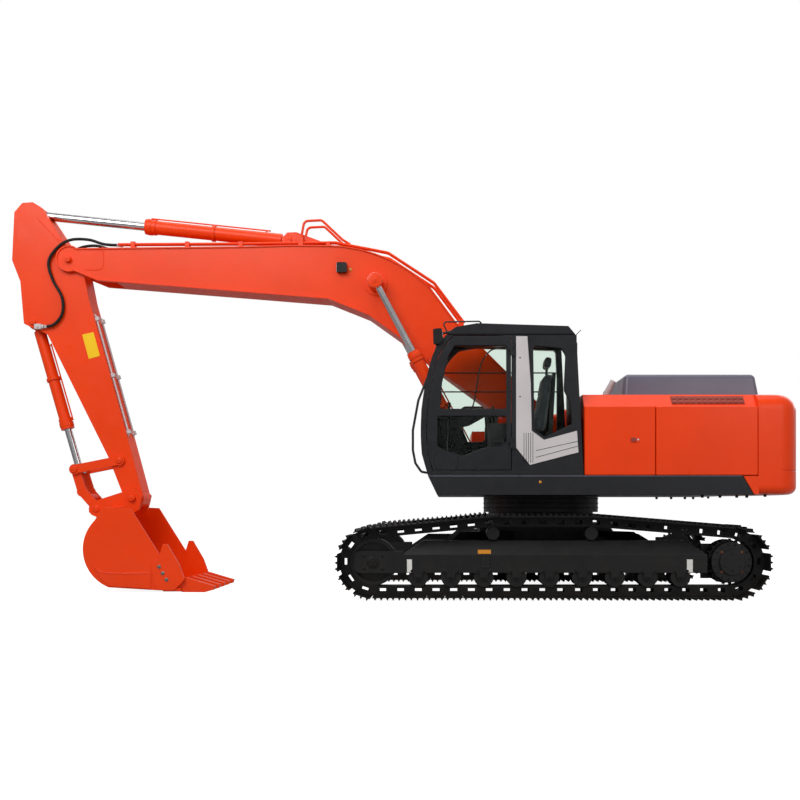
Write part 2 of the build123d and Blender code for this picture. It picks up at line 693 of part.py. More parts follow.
with BuildPart() as counterweight:
    with BuildSketch(level_plane(DECK_LOW_Z + 10)) as tail:
        with BuildLine():
            tail_end = math.sqrt(TAIL_RADIUS ** 2 - HOUSE_HALF_WIDTH ** 2)
            Line((HOUSE_REAR_X, HOUSE_HALF_WIDTH), (HOUSE_REAR_X, -HOUSE_HALF_WIDTH))
            Line((HOUSE_REAR_X, -HOUSE_HALF_WIDTH), (tail_end, -HOUSE_HALF_WIDTH))
            ThreePointArc(
                (tail_end, -HOUSE_HALF_WIDTH), (TAIL_RADIUS, 0), (tail_end, HOUSE_HALF_WIDTH)
            )
            Line((tail_end, HOUSE_HALF_WIDTH), (HOUSE_REAR_X, HOUSE_HALF_WIDTH))
        make_face()
        fillet(tail.vertices().sort_by(Axis.X)[-2:], TAIL_CORNER)
    extrude(amount=BODY_TOP_Z - DECK_LOW_Z - 10)
    tail_span = (SWING_X + HOUSE_REAR_X + 10, SWING_X + TAIL_RADIUS)
    tail_top = counterweight.faces().sort_by(Axis.Z)[-1]
    fillet(tail_top.edges().filter_by_position(Axis.X, *tail_span), TAIL_TOP_ROUND)
    tail_low = counterweight.faces().sort_by(Axis.Z)[0]
    fillet(tail_low.edges().filter_by_position(Axis.X, *tail_span), TAIL_LOW_ROUND)
    # Groove round the weight between its upper and its lower casting
    with BuildSketch(level_plane(TAIL_GROOVE_Z)):
        add(tail.sketch_local)
        offset(amount=GAP)
        add(tail.sketch_local.moved(Location((-TAIL_GROOVE[1], 0, 0))), mode=Mode.SUBTRACT)
    extrude(amount=TAIL_GROOVE[0], mode=Mode.SUBTRACT)
    # Front foot of the weight on each side, which fills the skirt's slanted end
    for side in (-1, 1):
        with BuildSketch(side_plane(side * HOUSE_HALF_WIDTH)):
            Polygon(
                (SKIRT_REAR_X[1] + GAP, DECK_LOW_Z + 10),
                (HOUSE_REAR_X + GAP, DECK_LOW_Z + 10),
                (HOUSE_REAR_X + GAP, DECK_TOP_Z - SEAT_GAP),
                (SKIRT_REAR_X[0] + 2 * GAP, DECK_TOP_Z - SEAT_GAP),
                align=None,
            )
        extrude(amount=side * (SKIRT_THICKNESS - GAP))


def house_side(inset):
    """Half section of the left housings across the machine, taken in by an inset."""
    outer = HOUSE_HALF_WIDTH - DOOR_THICKNESS - inset
    top = BODY_TOP_Z - inset
    bevel_z = BODY_TOP_Z - BODY_BEVEL
    return [
        (-outer, DECK_TOP_Z),
        (-outer, bevel_z - inset / 2),
        (-outer + BODY_BEVEL * 0.9, top),
        (outer - BODY_BEVEL * 0.9, top),
        (outer, bevel_z - inset / 2),
        (outer, DECK_TOP_Z),
    ]


with BuildPart() as engine_housing:
    with BuildSketch(cross_plane(engine_front_x)):
        Polygon(*house_side(0), align=None)
    extrude(amount=HOUSE_REAR_X - engine_front_x - SEAT_GAP)
    with BuildSketch(cross_plane(CAB_REAR_X + PANEL_GAP)):
        Polygon(*house_side(0), align=None)
        with Locations((HOUSE_HALF_WIDTH - side_bay_y, BODY_TOP_Z / 2)):
            Rectangle(2 * HOUSE_HALF_WIDTH, 2 * BODY_TOP_Z, mode=Mode.SUBTRACT)
    extrude(amount=engine_front_x - CAB_REAR_X - PANEL_GAP)
    with BuildSketch(cross_plane(engine_front_x + BODY_WALL)):
        Polygon(*house_side(BODY_WALL), align=None)
    extrude(amount=HOUSE_REAR_X - engine_front_x - 2 * BODY_WALL, mode=Mode.SUBTRACT)
    with BuildSketch(cross_plane(CAB_REAR_X + PANEL_GAP + BODY_WALL)):
        Polygon(*house_side(BODY_WALL), align=None)
        with Locations((HOUSE_HALF_WIDTH - side_bay_y - BODY_WALL, BODY_TOP_Z / 2)):
            Rectangle(2 * HOUSE_HALF_WIDTH, 2 * BODY_TOP_Z, mode=Mode.SUBTRACT)
    extrude(amount=engine_front_x - CAB_REAR_X - PANEL_GAP - 2 * BODY_WALL, mode=Mode.SUBTRACT)
    # Door openings at both sides and the engine's opening under the hood
    door_z = (DECK_TOP_Z - 1, BODY_TOP_Z - BODY_BEVEL - 60)
    left_wall = (-HOUSE_HALF_WIDTH, -HOUSE_HALF_WIDTH + DOOR_THICKNESS + BODY_WALL + 5)
    right_wall = (HOUSE_HALF_WIDTH - DOOR_THICKNESS - BODY_WALL - 5, HOUSE_HALF_WIDTH)
    level_box((CAB_REAR_X + 70, PANEL_SPLIT_X - 60), left_wall, door_z, mode=Mode.SUBTRACT)
    level_box((PANEL_SPLIT_X + 60, HOUSE_REAR_X - 60), left_wall, door_z, mode=Mode.SUBTRACT)
    level_box((engine_front_x + 60, HOUSE_REAR_X - 60), right_wall, door_z, mode=Mode.SUBTRACT)
    level_box(
        (engine_front_x + 60, HOUSE_REAR_X - 60),
        (-HOOD_TOP_HALF + 40, HOOD_TOP_HALF - 40),
        (BODY_TOP_Z - 2 * BODY_WALL, BODY_TOP_Z + 1),
        mode=Mode.SUBTRACT,
    )


def body_door(front_x, rear_x, side):
    """Flat housing door with a folded rim, hung on the outer face of one side."""
    low_y = -HOUSE_HALF_WIDTH if side < 0 else HOUSE_HALF_WIDTH - DOOR_THICKNESS + SEAT_GAP
    high_y = low_y + DOOR_THICKNESS - SEAT_GAP
    with BuildPart() as door:
        level_box(
            (front_x + PANEL_GAP / 2, rear_x - PANEL_GAP / 2),
            (low_y, high_y),
            (DECK_TOP_Z + PANEL_GAP, BODY_TOP_Z - BODY_BEVEL),
        )
        fillet(door.edges().filter_by(Axis.Y), 18)
        outer_face = door.faces().sort_by(Axis.Y)[0 if side < 0 else -1]
        chamfer(outer_face.edges(), 8)
    return door


left_front_door = body_door(CAB_REAR_X + PANEL_GAP, PANEL_SPLIT_X, -1)
left_rear_door = body_door(PANEL_SPLIT_X, HOUSE_REAR_X, -1)
pump_door = body_door(engine_front_x, HOUSE_REAR_X, 1)

with BuildPart() as engine_hood:
    for inset, mode in ((0, Mode.ADD), (HOOD_WALL, Mode.SUBTRACT)):
        base_x = [HOOD_BASE_X[0] + inset, HOOD_BASE_X[1] - inset]
        top_x = [HOOD_TOP_X[0] + inset, HOOD_TOP_X[1] - inset]
        with BuildSketch(level_plane(BODY_TOP_Z + SEAT_GAP)) as hood_base:
            with Locations((sum(base_x) / 2, 0)):
                Rectangle(base_x[1] - base_x[0], 2 * (HOOD_BASE_HALF - inset))
        with BuildSketch(level_plane(HOOD_TOP_Z - inset)) as hood_top:
            with Locations((sum(top_x) / 2, 0)):
                Rectangle(top_x[1] - top_x[0], 2 * (HOOD_TOP_HALF - inset))
        loft(sections=[hood_base.sketch, hood_top.sketch], ruled=True, mode=mode)
        if mode == Mode.ADD:
            upright = engine_hood.edges().filter_by(
                lambda edge: abs(edge.tangent_at(0.5).Z) > 0.5
            )
            fillet(upright, HOOD_ROUND)
            fillet(engine_hood.faces().sort_by(Axis.Z)[-1].edges(), HOOD_ROUND)

# Louvred grilles on the sloped edge of the housing, and the exhaust ahead of the hood
bevel_run = BODY_BEVEL * 0.9
bevel_turn = math.atan2(BODY_BEVEL, bevel_run)
grille_middle_y = HOUSE_HALF_WIDTH - DOOR_THICKNESS - bevel_run / 2
with BuildPart() as side_grilles:
    for side in (-1, 1):
        grille_plane = Plane(
            origin=(
                SWING_X + sum(GRILLE_X) / 2,
                side * grille_middle_y,
                BODY_TOP_Z - BODY_BEVEL / 2,
            ),
            x_dir=(1, 0, 0),
            z_dir=(0, side * math.sin(bevel_turn), math.cos(bevel_turn)),
        )
        with BuildSketch(grille_plane):
            Rectangle(GRILLE_X[1] - GRILLE_X[0], GRILLE_WIDTH)
        extrude(amount=GRILLE_PLATE)
        slat_pitch = (GRILLE_X[1] - GRILLE_X[0]) / GRILLE_COUNT
        with BuildSketch(grille_plane.offset(GRILLE_PLATE)):
            with GridLocations(slat_pitch, GRILLE_WIDTH / 2, GRILLE_COUNT, 2):
                Rectangle(slat_pitch * 0.7, GRILLE_WIDTH * 0.34)
        extrude(amount=GRILLE_SLAT)

with BuildPart() as exhaust_pipe:
    with BuildLine(side_plane(EXHAUST_Y)) as exhaust_line:
        FilletPolyline(*EXHAUST_ROUTE, radius=40)
    with BuildSketch(level_plane(EXHAUST_ROUTE[0][1])):
        with Locations((EXHAUST_ROUTE[0][0], EXHAUST_Y)):
            Circle(EXHAUST_RADIUS)
            Circle(EXHAUST_RADIUS - 4, mode=Mode.SUBTRACT)
    sweep(path=exhaust_line.wires()[0])
    with BuildSketch(level_plane(EXHAUST_ROUTE[0][1])):
        with Locations((EXHAUST_ROUTE[0][0], EXHAUST_Y)):
            Circle(EXHAUST_RADIUS + 22)
            Circle(EXHAUST_RADIUS - 4, mode=Mode.SUBTRACT)
    extrude(amount=10)

# Right side of the deck
tank_low_y = side_bay_y + 20
with BuildPart() as fuel_tank:
    level_box((-500, 300), (tank_low_y, HOUSE_HALF_WIDTH), (DECK_TOP_Z, BODY_TOP_Z - 60))
    fillet(fuel_tank.edges().filter_by(Axis.Z), 40)
    chamfer(fuel_tank.faces().sort_by(Axis.Z)[-1].edges(), 30)

with BuildPart() as hydraulic_tank:
    level_box(
        (300 + PANEL_GAP, engine_front_x - PANEL_GAP),
        (tank_low_y, HOUSE_HALF_WIDTH),
        (DECK_TOP_Z, BODY_TOP_Z),
    )
    fillet(hydraulic_tank.edges().filter_by(Axis.Z), 40)
    chamfer(hydraulic_tank.faces().sort_by(Axis.Z)[-1].edges(), 30)

with BuildPart() as tool_box:
    with BuildSketch(side_plane(tank_low_y + 60)):
        Polygon(
            (HOUSE_FRONT_X + 10, DECK_TOP_Z),
            (-500 - PANEL_GAP, DECK_TOP_Z),
            (-500 - PANEL_GAP, DECK_TOP_Z + 620),
            (-820, DECK_TOP_Z + 620),
            (-820, DECK_TOP_Z + 330),
            (-1090, DECK_TOP_Z + 330),
            (-1090, DECK_TOP_Z + 90),
            (HOUSE_FRONT_X + 10, DECK_TOP_Z + 60),
            align=None,
        )
    extrude(amount=-(HOUSE_HALF_WIDTH - tank_low_y - 60))
    fillet(tool_box.edges().filter_by(Axis.Y), 12)

with BuildPart() as engine_block:
    level_box((1200, 2000), (-520, 700), (rail_top_z + SEAT_GAP, 2080))
    fillet(engine_block.edges().filter_by(Axis.Z), 60)

with BuildPart() as radiator:
    level_box((1180, 2080), (-1080, -900), (FLOOR_TOP_Z + SEAT_GAP, 2060))


# Cab
def cab_side(inset=0.0):
    """Side view of the cab as a closed face, taken in by an inset."""
    with BuildSketch() as side_view:
        with BuildLine():
            Line((CAB_REAR_X, DECK_TOP_Z), (HOUSE_FRONT_X, DECK_TOP_Z))
            Line((HOUSE_FRONT_X, DECK_TOP_Z), CAB_FRONT_EDGE[0])
            ThreePointArc(*CAB_FRONT_EDGE[:3])
            ThreePointArc(*CAB_FRONT_EDGE[2:])
            Polyline(CAB_FRONT_EDGE[-1], *CAB_ROOF_EDGE, (CAB_REAR_X, DECK_TOP_Z))
        make_face()
        if inset:
            offset(amount=-inset, kind=Kind.INTERSECTION)
    return side_view.sketch


cab_left = -HOUSE_HALF_WIDTH
cab_right = cab_left + CAB_WIDTH
cab_middle = (cab_left + cab_right) / 2
roof_top_z = CAB_ROOF_EDGE[0][1]
roof_low_z = roof_top_z - 130
floor_z = DECK_TOP_Z + CAB_WALL
front_band = CAB_WALL
rear_inner_x = CAB_REAR_X - CAB_WALL - 15


with BuildPart() as cab_shell_block:
    with BuildSketch(side_plane(cab_left)):
        add(cab_side())
    extrude(amount=-CAB_WIDTH)

with BuildPart() as cab_roof:
    add(cab_shell_block.part)
    level_box((-2000, 2000), (-2000, 2000), (0, roof_low_z), mode=Mode.SUBTRACT)
    fillet(cab_roof.edges().filter_by(Axis.X), 25)

with BuildPart() as cab_floor:
    add(cab_shell_block.part)
    level_box((-2000, 2000), (-2000, 2000), (floor_z, 4000), mode=Mode.SUBTRACT)

wall_z = (floor_z, roof_low_z)
with BuildPart() as cab_front:
    add(cab_shell_block.part)
    with BuildSketch(side_plane(cab_left)):
        add(cab_side(front_band))
        with Locations((CAB_REAR_X, 2100)):
            Rectangle(900, 2400)
    extrude(amount=-CAB_WIDTH, mode=Mode.SUBTRACT)
    level_box((-2000, 2000), (-2000, 2000), (0, floor_z), mode=Mode.SUBTRACT)
    level_box((-2000, 2000), (-2000, 2000), (roof_low_z, 4000), mode=Mode.SUBTRACT)
    level_box((-560, 2000), (-2000, 2000), (0, 4000), mode=Mode.SUBTRACT)
    # Windscreen and lower front window
    for low_z, high_z in ((1470, 1830), (1900, 2790)):
        level_box(
            (-1500, -900),
            (cab_left + CAB_WALL, cab_right - CAB_WALL),
            (low_z, high_z),
            mode=Mode.SUBTRACT,
        )

with BuildPart() as cab_rear:
    add(cab_shell_block.part)
    level_box((-2000, rear_inner_x), (-2000, 2000), (0, 4000), mode=Mode.SUBTRACT)
    level_box((-2000, 2000), (-2000, 2000), (0, floor_z), mode=Mode.SUBTRACT)
    level_box((-2000, 2000), (-2000, 2000), (roof_low_z, 4000), mode=Mode.SUBTRACT)
    level_box(
        (0, 500), (cab_left + 120, cab_right - 120), (2240, roof_low_z - 60), mode=Mode.SUBTRACT
    )

with BuildPart() as cab_right_wall:
    with BuildSketch(side_plane(cab_right)):
        add(cab_side(front_band))
    extrude(amount=CAB_WALL)
    level_box((-2000, 2000), (-2000, 2000), (0, floor_z), mode=Mode.SUBTRACT)
    level_box((-2000, 2000), (-2000, 2000), (roof_low_z, 4000), mode=Mode.SUBTRACT)
    level_box((rear_inner_x, 2000), (-2000, 2000), (0, 4000), mode=Mode.SUBTRACT)
    with BuildSketch(side_plane(cab_right)):
        add(cab_side(front_band + 70))
        with Locations((0, 1400)):
            Rectangle(4000, 700, mode=Mode.SUBTRACT)
        with Locations((CAB_REAR_X, 2100)):
            Rectangle(380, 2400, mode=Mode.SUBTRACT)
    extrude(amount=CAB_WALL, mode=Mode.SUBTRACT)

door_gap = PANEL_GAP
hinge_x = DOOR_REAR_X - door_gap / 2


def draw_hinge_half(low_z, leaf_turn):
    """Knuckle of the cab door's hinge with its leaf, which runs rearwards for leaf_turn +1."""
    leaf_x = sorted((hinge_x + leaf_turn * door_gap / 2, hinge_x + leaf_turn * HINGE_LEAF))
    with BuildPart() as half:
        with BuildSketch(level_plane(low_z)):
            with Locations((hinge_x, cab_left - HINGE_OUT)):
                Circle(HINGE_RADIUS)
        extrude(amount=HINGE_LENGTH)
        level_box(
            (min(hinge_x, leaf_x[0]), max(hinge_x, leaf_x[1])),
            (cab_left - HINGE_OUT + 2, cab_left - HINGE_OUT + 12),
            (low_z, low_z + HINGE_LENGTH),
        )
        level_box(leaf_x, (cab_left - HINGE_OUT + 2, cab_left), (low_z, low_z + HINGE_LENGTH))
    return half.part


with BuildPart() as cab_left_wall:
    level_box((DOOR_REAR_X, rear_inner_x), (cab_left, cab_left + CAB_WALL), wall_z)
    for hinge_z in DOOR_HINGE_ZS:
        add(draw_hinge_half(hinge_z, 1))
    # Rear side window, cut low at its rear corner
    with BuildSketch(side_plane(cab_left)) as quarter_window:
        Polygon(*REAR_SIDE_WINDOW, align=None)
        fillet(quarter_window.vertices(), 28)
    extrude(amount=-CAB_WALL, mode=Mode.SUBTRACT)

with BuildPart() as cab_door:
    with BuildSketch(side_plane(cab_left)) as door_side:
        add(cab_side(front_band + door_gap))
    extrude(amount=-CAB_WALL + SEAT_GAP)
    level_box((-2000, 2000), (-2000, 2000), (0, floor_z + door_gap), mode=Mode.SUBTRACT)
    level_box((-2000, 2000), (-2000, 2000), (roof_low_z - door_gap, 4000), mode=Mode.SUBTRACT)
    level_box((DOOR_REAR_X - door_gap, 2000), (-2000, 2000), (0, 4000), mode=Mode.SUBTRACT)
    with BuildSketch(side_plane(cab_left)) as door_window:
        Polygon(*DOOR_UPPER_WINDOW, align=None)
        Polygon(*DOOR_LOWER_WINDOW, align=None)
        fillet(door_window.vertices(), 28)
    extrude(amount=-CAB_WALL, mode=Mode.SUBTRACT)
    for hinge_z in DOOR_HINGE_ZS:
        add(draw_hinge_half(hinge_z + HINGE_LENGTH + SEAT_GAP, -1))

with BuildPart() as cab_door_glass:
    with BuildSketch(side_plane(cab_left + CAB_WALL / 2)) as pane:
        add(door_window.sketch_local)
        offset(amount=-SEAT_GAP, kind=Kind.INTERSECTION)
    extrude(amount=-GLASS)

with BuildPart() as cab_glass:
    # Rear side pane
    with BuildSketch(side_plane(cab_left + CAB_WALL / 2)):
        add(quarter_window.sketch_local)
        offset(amount=-SEAT_GAP, kind=Kind.INTERSECTION)
    extrude(amount=-GLASS)
    # Right side pane
    with BuildSketch(side_plane(cab_right - CAB_WALL / 2)):
        add(cab_side(front_band + 70))
        with Locations((0, 1400)):
            Rectangle(4000, 700, mode=Mode.SUBTRACT)
        with Locations((CAB_REAR_X, 2100)):
            Rectangle(380, 2400, mode=Mode.SUBTRACT)
        offset(amount=-SEAT_GAP, kind=Kind.INTERSECTION)
    extrude(amount=GLASS)
    # Windscreen and lower front pane follow the front's curve
    with BuildSketch(side_plane(cab_left + CAB_WALL + SEAT_GAP)):
        add(cab_side(front_band / 2 - GLASS / 2))
        add(cab_side(front_band / 2 + GLASS / 2), mode=Mode.SUBTRACT)
        with Locations((500, 2100)):
            Rectangle(2900, 2400, mode=Mode.SUBTRACT)
        for low_z, high_z in ((0, 1470), (1830, 1900), (2790, 4000)):
            with Locations((-1000, (low_z + high_z) / 2)):
                Rectangle(2000, high_z - low_z + 2 * SEAT_GAP, mode=Mode.SUBTRACT)
    extrude(amount=-(CAB_WIDTH - 2 * CAB_WALL - 2 * SEAT_GAP))
    # Rear pane
    level_box(
        (CAB_REAR_X - CAB_WALL, CAB_REAR_X - CAB_WALL + GLASS),
        (cab_left + 120 + SEAT_GAP, cab_right - 120 - SEAT_GAP),
        (2240 + SEAT_GAP, roof_low_z - 60 - SEAT_GAP),
    )

# Silver trim on the left rear wall, outside rails, roof fittings and right window bars
with BuildPart() as cab_trim:
    with BuildSketch(side_plane(cab_left)):
        Polygon(*CAB_TRIM, align=None)
    extrude(amount=CAB_TRIM_THICKNESS)
    with BuildSketch(side_plane(cab_left)) as trim_window:
        add(quarter_window.sketch_local)
        offset(amount=3, kind=Kind.INTERSECTION)
    extrude(amount=CAB_TRIM_THICKNESS, mode=Mode.SUBTRACT)


def draw_pipe(points, bend, pipe_radius):
    """Round pipe through points given from the swing axis, with bends of one radius."""
    places = [(SWING_X + x, y, z) for x, y, z in points]
    with BuildPart() as pipe:
        with BuildLine() as pipe_line:
            FilletPolyline(*places, radius=bend)
        route = pipe_line.wires()[0]
        with BuildSketch(Plane(route.position_at(0), z_dir=route.tangent_at(0))):
            Circle(pipe_radius)
        sweep(path=route)
    return pipe.part


rail_y = cab_left + 2 * BOW_RAIL_RADIUS
deck_rail_y = HOUSE_HALF_WIDTH - 50
with BuildPart() as hand_rails:
    add(draw_pipe([(x, rail_y, z) for x, z in BOW_RAIL_ROUTE], 40, BOW_RAIL_RADIUS))
    add(draw_pipe([(x, rail_y, z) for x, z in ROOF_RAIL_ROUTE], 30, ROOF_RAIL_RADIUS))
    add(cab_shell_block.part, mode=Mode.SUBTRACT)
    # Bars across the opening of the right window
    for bar_z in WINDOW_BAR_ZS:
        with BuildSketch(cross_plane(WINDOW_BAR_X[0])):
            with Locations((cab_right - WINDOW_BAR_IN, bar_z)):
                Circle(WINDOW_BAR_RADIUS)
        extrude(amount=WINDOW_BAR_X[1] - WINDOW_BAR_X[0])
    # Hand rail from the tool box to the fuel tank
    add(draw_pipe([(x, deck_rail_y, z) for x, z in DECK_RAIL_ROUTE], 60, DECK_RAIL_RADIUS))
    for carrier in (cab_front, cab_right_wall, tool_box, fuel_tank):
        add(carrier.part, mode=Mode.SUBTRACT)

with BuildPart() as roof_fittings:
    # Mirror at the front corner, two caps on the roof and the aerial's bracket at the rear
    with BuildSketch(side_plane(cab_left + 60)) as mirror:
        Polygon(*MIRROR_OUTLINE, align=None)
        fillet(mirror.vertices(), 18)
    extrude(amount=100)
    add(hand_rails.part, mode=Mode.SUBTRACT)
    for cap_x, cap_radius, cap_height in ROOF_CAPS:
        with BuildSketch(level_plane(roof_low_z)):
            with Locations((cap_x, cab_middle)):
                Circle(cap_radius)
        extrude(amount=roof_top_z - roof_low_z + cap_height)
    level_box(AERIAL_X, (cab_middle - 20, cab_middle + 20), AERIAL_Z)
    add(cab_shell_block.part, mode=Mode.SUBTRACT)

seat_y = cab_middle
with BuildPart() as seat:
    level_box((-520, -120), (seat_y - 150, seat_y + 150), (floor_z + SEAT_GAP, floor_z + 280))
    level_box((-620, -60), (seat_y - 240, seat_y + 240), (floor_z + 270, floor_z + 430))
    with BuildSketch(side_plane(seat_y)):
        Polygon((-190, floor_z + 400), (-60, floor_z + 400), (60, floor_z + 1110),
                (-50, floor_z + 1110), align=None)
    extrude(amount=220, both=True)
    # Headrest on its two posts
    for side in (-1, 1):
        level_box(
            (-20, 20),
            (seat_y + side * 70 - 8, seat_y + side * 70 + 8),
            (floor_z + 1100, floor_z + 1160),
        )
    level_box((-65, 40), (seat_y - 130, seat_y + 130), (floor_z + 1150, floor_z + 1290))

with BuildPart() as control_consoles:
    for side in (-1, 1):
        inner = seat_y + side * 255
        outer = seat_y + side * 370
        level_box(
            (-700, -150), tuple(sorted((inner, outer))), (floor_z + SEAT_GAP, floor_z + 520)
        )
        with BuildSketch(level_plane(floor_z + 515)):
            with Locations((-640, (inner + outer) / 2)):
                Circle(16)
        extrude(amount=190)
        with BuildSketch(level_plane(floor_z + SEAT_GAP)):
            with Locations((-1120, seat_y + side * 75)):
                Circle(14)
        extrude(amount=620)


# Boom
def boom_side(inset=0.0):
    """Side view of the boom as a closed face, taken in by an inset."""
    with BuildSketch() as side_view:
        with BuildLine():
            Polyline(BOOM_TIP_EDGE[-1], *BOOM_TOP_EDGE)
            ThreePointArc(*BOOM_KNEE_EDGE)
            Polyline(BOOM_KNEE_EDGE[-1], BOOM_NECK, BOOM_FOOT_EDGE[0])
            ThreePointArc(*BOOM_FOOT_EDGE)
            Polyline(BOOM_FOOT_EDGE[-1], *BOOM_BOTTOM_EDGE, BOOM_TIP_EDGE[0])
            ThreePointArc(*BOOM_TIP_EDGE)
        make_face()
        if inset:
            offset(amount=-inset, kind=Kind.INTERSECTION)
    return side_view.sketch


with BuildPart() as boom:
    with BuildSketch(side_plane()):
        add(boom_side())
    extrude(amount=BOOM_HALF_WIDTH, both=True)
    with BuildSketch(side_plane()):
        add(boom_side())
        add(boom_side(FLANGE_PLATE), mode=Mode.SUBTRACT)
    extrude(amount=BOOM_HALF_WIDTH + FLANGE_OVERHANG, both=True)
    # Slot of the tip's fork, in which the arm swings
    with BuildSketch(side_plane()):
        Polygon(*BOOM_FORK_SLOT, align=None)
    extrude(amount=FORK_SLOT_HALF, both=True, mode=Mode.SUBTRACT)
    # Bore for the foot pin
    with BuildSketch(side_plane()):
        with Locations(BOOM_FOOT):
            Circle(PIN_RADIUS + 10 + PIN_GAP)
    extrude(amount=BOOM_HALF_WIDTH + FLANGE_OVERHANG, both=True, mode=Mode.SUBTRACT)
    # Tip pin with its heads
    with BuildSketch(side_plane()):
        with Locations(BOOM_TIP):
            Circle(PIN_RADIUS)
    extrude(amount=BOOM_HALF_WIDTH + FLANGE_OVERHANG + 25, both=True)
    # Doubling pads and bosses that the lift rods' eyes stand against
    for side in (-1, 1):
        with BuildSketch(side_plane(side * BOOM_HALF_WIDTH)):
            with Locations(LIFT_HEAD):
                Circle(LIFT_PAD[0])
        extrude(amount=-side * LIFT_PAD[1])
        with BuildSketch(side_plane(side * (BOOM_HALF_WIDTH - 10))):
            with Locations(LIFT_HEAD):
                Circle(EYE_RADIUS)
        extrude(amount=-side * (LIFT_Y - LIFT_EYE_HALF_WIDTH - GAP - BOOM_HALF_WIDTH + 10))
    # Ears of the arm cylinder's foot
    for side in (-1, 1):
        with BuildSketch(side_plane(side * (EYE_HALF_WIDTH + GAP))):
            Polygon(*CROWD_EARS, align=None)
        extrude(amount=-side * 30)
    with BuildSketch(side_plane()):
        with Locations(CROWD_FOOT):
            Circle(PIN_RADIUS)
    extrude(amount=EYE_HALF_WIDTH + GAP + 40, both=True)

# Pipes along the boom's top, with the clamps that carry them
with BuildPart() as boom_pipes:
    for pipe_y in PIPE_YS:
        add(draw_pipe([(x, pipe_y, z) for x, z in PIPE_ROUTE], PIPE_BEND, PIPE_RADIUS))
    for side in (-1, 1):
        add(draw_pipe(
            [(x, side * PIPE_ARCH_Y, z) for x, z in PIPE_ARCH], PIPE_ARCH_BEND, PIPE_RADIUS
        ))
        clamp_y = tuple(sorted((side * PIPE_CLAMP_Y[0], side * PIPE_CLAMP_Y[1])))
        for clamp_x in PIPE_CLAMP_XS:
            level_box((clamp_x - 25, clamp_x + 25), clamp_y, (4090, 4170))
        # Clamp at the lower end, on the boom's sloped back
        level_box((-1000, -935), clamp_y, (3120, 3230))
        level_box(
            (PIPE_ARCH[0][0] - 30, PIPE_ARCH[0][0] + 30), clamp_y, (4090, PIPE_ARCH[0][1] + 20)
        )
    add(boom.part, mode=Mode.SUBTRACT)

with BuildPart() as boom_lamp:
    level_box(LAMP_BOX[0], (-BOOM_HALF_WIDTH - LAMP_DEPTH - 15, -BOOM_HALF_WIDTH - 15), LAMP_BOX[1])
    fillet(boom_lamp.edges().filter_by(Axis.Y), 20)
    level_box(
        (LAMP_BOX[0][0] + 30, LAMP_BOX[0][1] - 30),
        (-BOOM_HALF_WIDTH - 15, -BOOM_HALF_WIDTH - SEAT_GAP),
        (LAMP_BOX[1][0] + 30, LAMP_BOX[1][1] - 30),
    )


# Cylinders
def along_plane(start, end, y):
    """Plane across a cylinder at its start, with its normal along the cylinder."""
    turn = math.radians(direction(start, end))
    return Plane(
        origin=(SWING_X + start[0], y, start[1]),
        x_dir=(0, 1, 0),
        z_dir=(math.cos(turn), 0, math.sin(turn)),
    )


def draw_barrel(start, end, y, radius, length, rod_radius, eye_half_width=EYE_HALF_WIDTH):
    """Barrel from its foot eye to its gland, drilled for its rod, as one solid."""
    neck_end = EYE_RADIUS + 2 * GAP
    with BuildPart() as barrel:
        with BuildSketch(side_plane(y)):
            with Locations(start):
                Circle(EYE_RADIUS - GAP)
        extrude(amount=eye_half_width, both=True)
        with BuildSketch(along_plane(start, end, y).offset(EYE_RADIUS / 2)):
            Circle(radius * 0.72)
        extrude(amount=neck_end - EYE_RADIUS / 2)
        with BuildSketch(along_plane(start, end, y).offset(neck_end)):
            Circle(radius)
        extrude(amount=length - neck_end)
        with BuildSketch(along_plane(start, end, y).offset(length - 130)):
            Circle(radius + 10)
        extrude(amount=130)
        with BuildSketch(along_plane(start, end, y).offset(EYE_RADIUS * 2.2)):
            Circle(rod_radius + PIN_GAP)
        extrude(amount=length, mode=Mode.SUBTRACT)
        with BuildSketch(side_plane(y)):
            with Locations(start):
                Circle(PIN_RADIUS + PIN_GAP)
        extrude(amount=eye_half_width, both=True, mode=Mode.SUBTRACT)
    return barrel.part


def draw_rod(start, end, y, rod_radius, inside, eye_radius, eye_half_width):
    """Rod from a point inside its barrel to its eye, with the pin in the eye."""
    reach = length_of(start, end)
    with BuildPart() as rod:
        with BuildSketch(along_plane(start, end, y).offset(inside)):
            Circle(rod_radius)
        extrude(amount=reach - inside)
        with BuildSketch(side_plane(y)):
            with Locations(end):
                Circle(eye_radius)
        extrude(amount=eye_half_width, both=True)
    return rod.part


with BuildPart() as lift_barrels:
    for side in (-1, 1):
        add(draw_barrel(
            LIFT_FOOT, LIFT_HEAD, side * LIFT_Y, LIFT_BARREL, LIFT_BARREL_LENGTH, LIFT_ROD,
            LIFT_EYE_HALF_WIDTH,
        ))

with BuildPart() as lift_rods:
    for side in (-1, 1):
        add(draw_rod(
            LIFT_FOOT, LIFT_HEAD, side * LIFT_Y, LIFT_ROD, 900, EYE_RADIUS, LIFT_EYE_HALF_WIDTH
        ))

with BuildPart() as arm_cylinder_barrel:
    add(draw_barrel(CROWD_FOOT, CROWD_HEAD, 0, CROWD_BARREL, CROWD_BARREL_LENGTH, CROWD_ROD))

with BuildPart() as arm_cylinder_rod:
    add(draw_rod(CROWD_FOOT, CROWD_HEAD, 0, CROWD_ROD, 1350, EYE_RADIUS, EYE_HALF_WIDTH))

with BuildPart() as bucket_cylinder_barrel:
    add(draw_barrel(CURL_FOOT, ROCKER_END, 0, CURL_BARREL, CURL_BARREL_LENGTH, CURL_ROD))

with BuildPart() as bucket_cylinder_rod:
    add(draw_rod(CURL_FOOT, ROCKER_END, 0, CURL_ROD, 700, 70, 45))

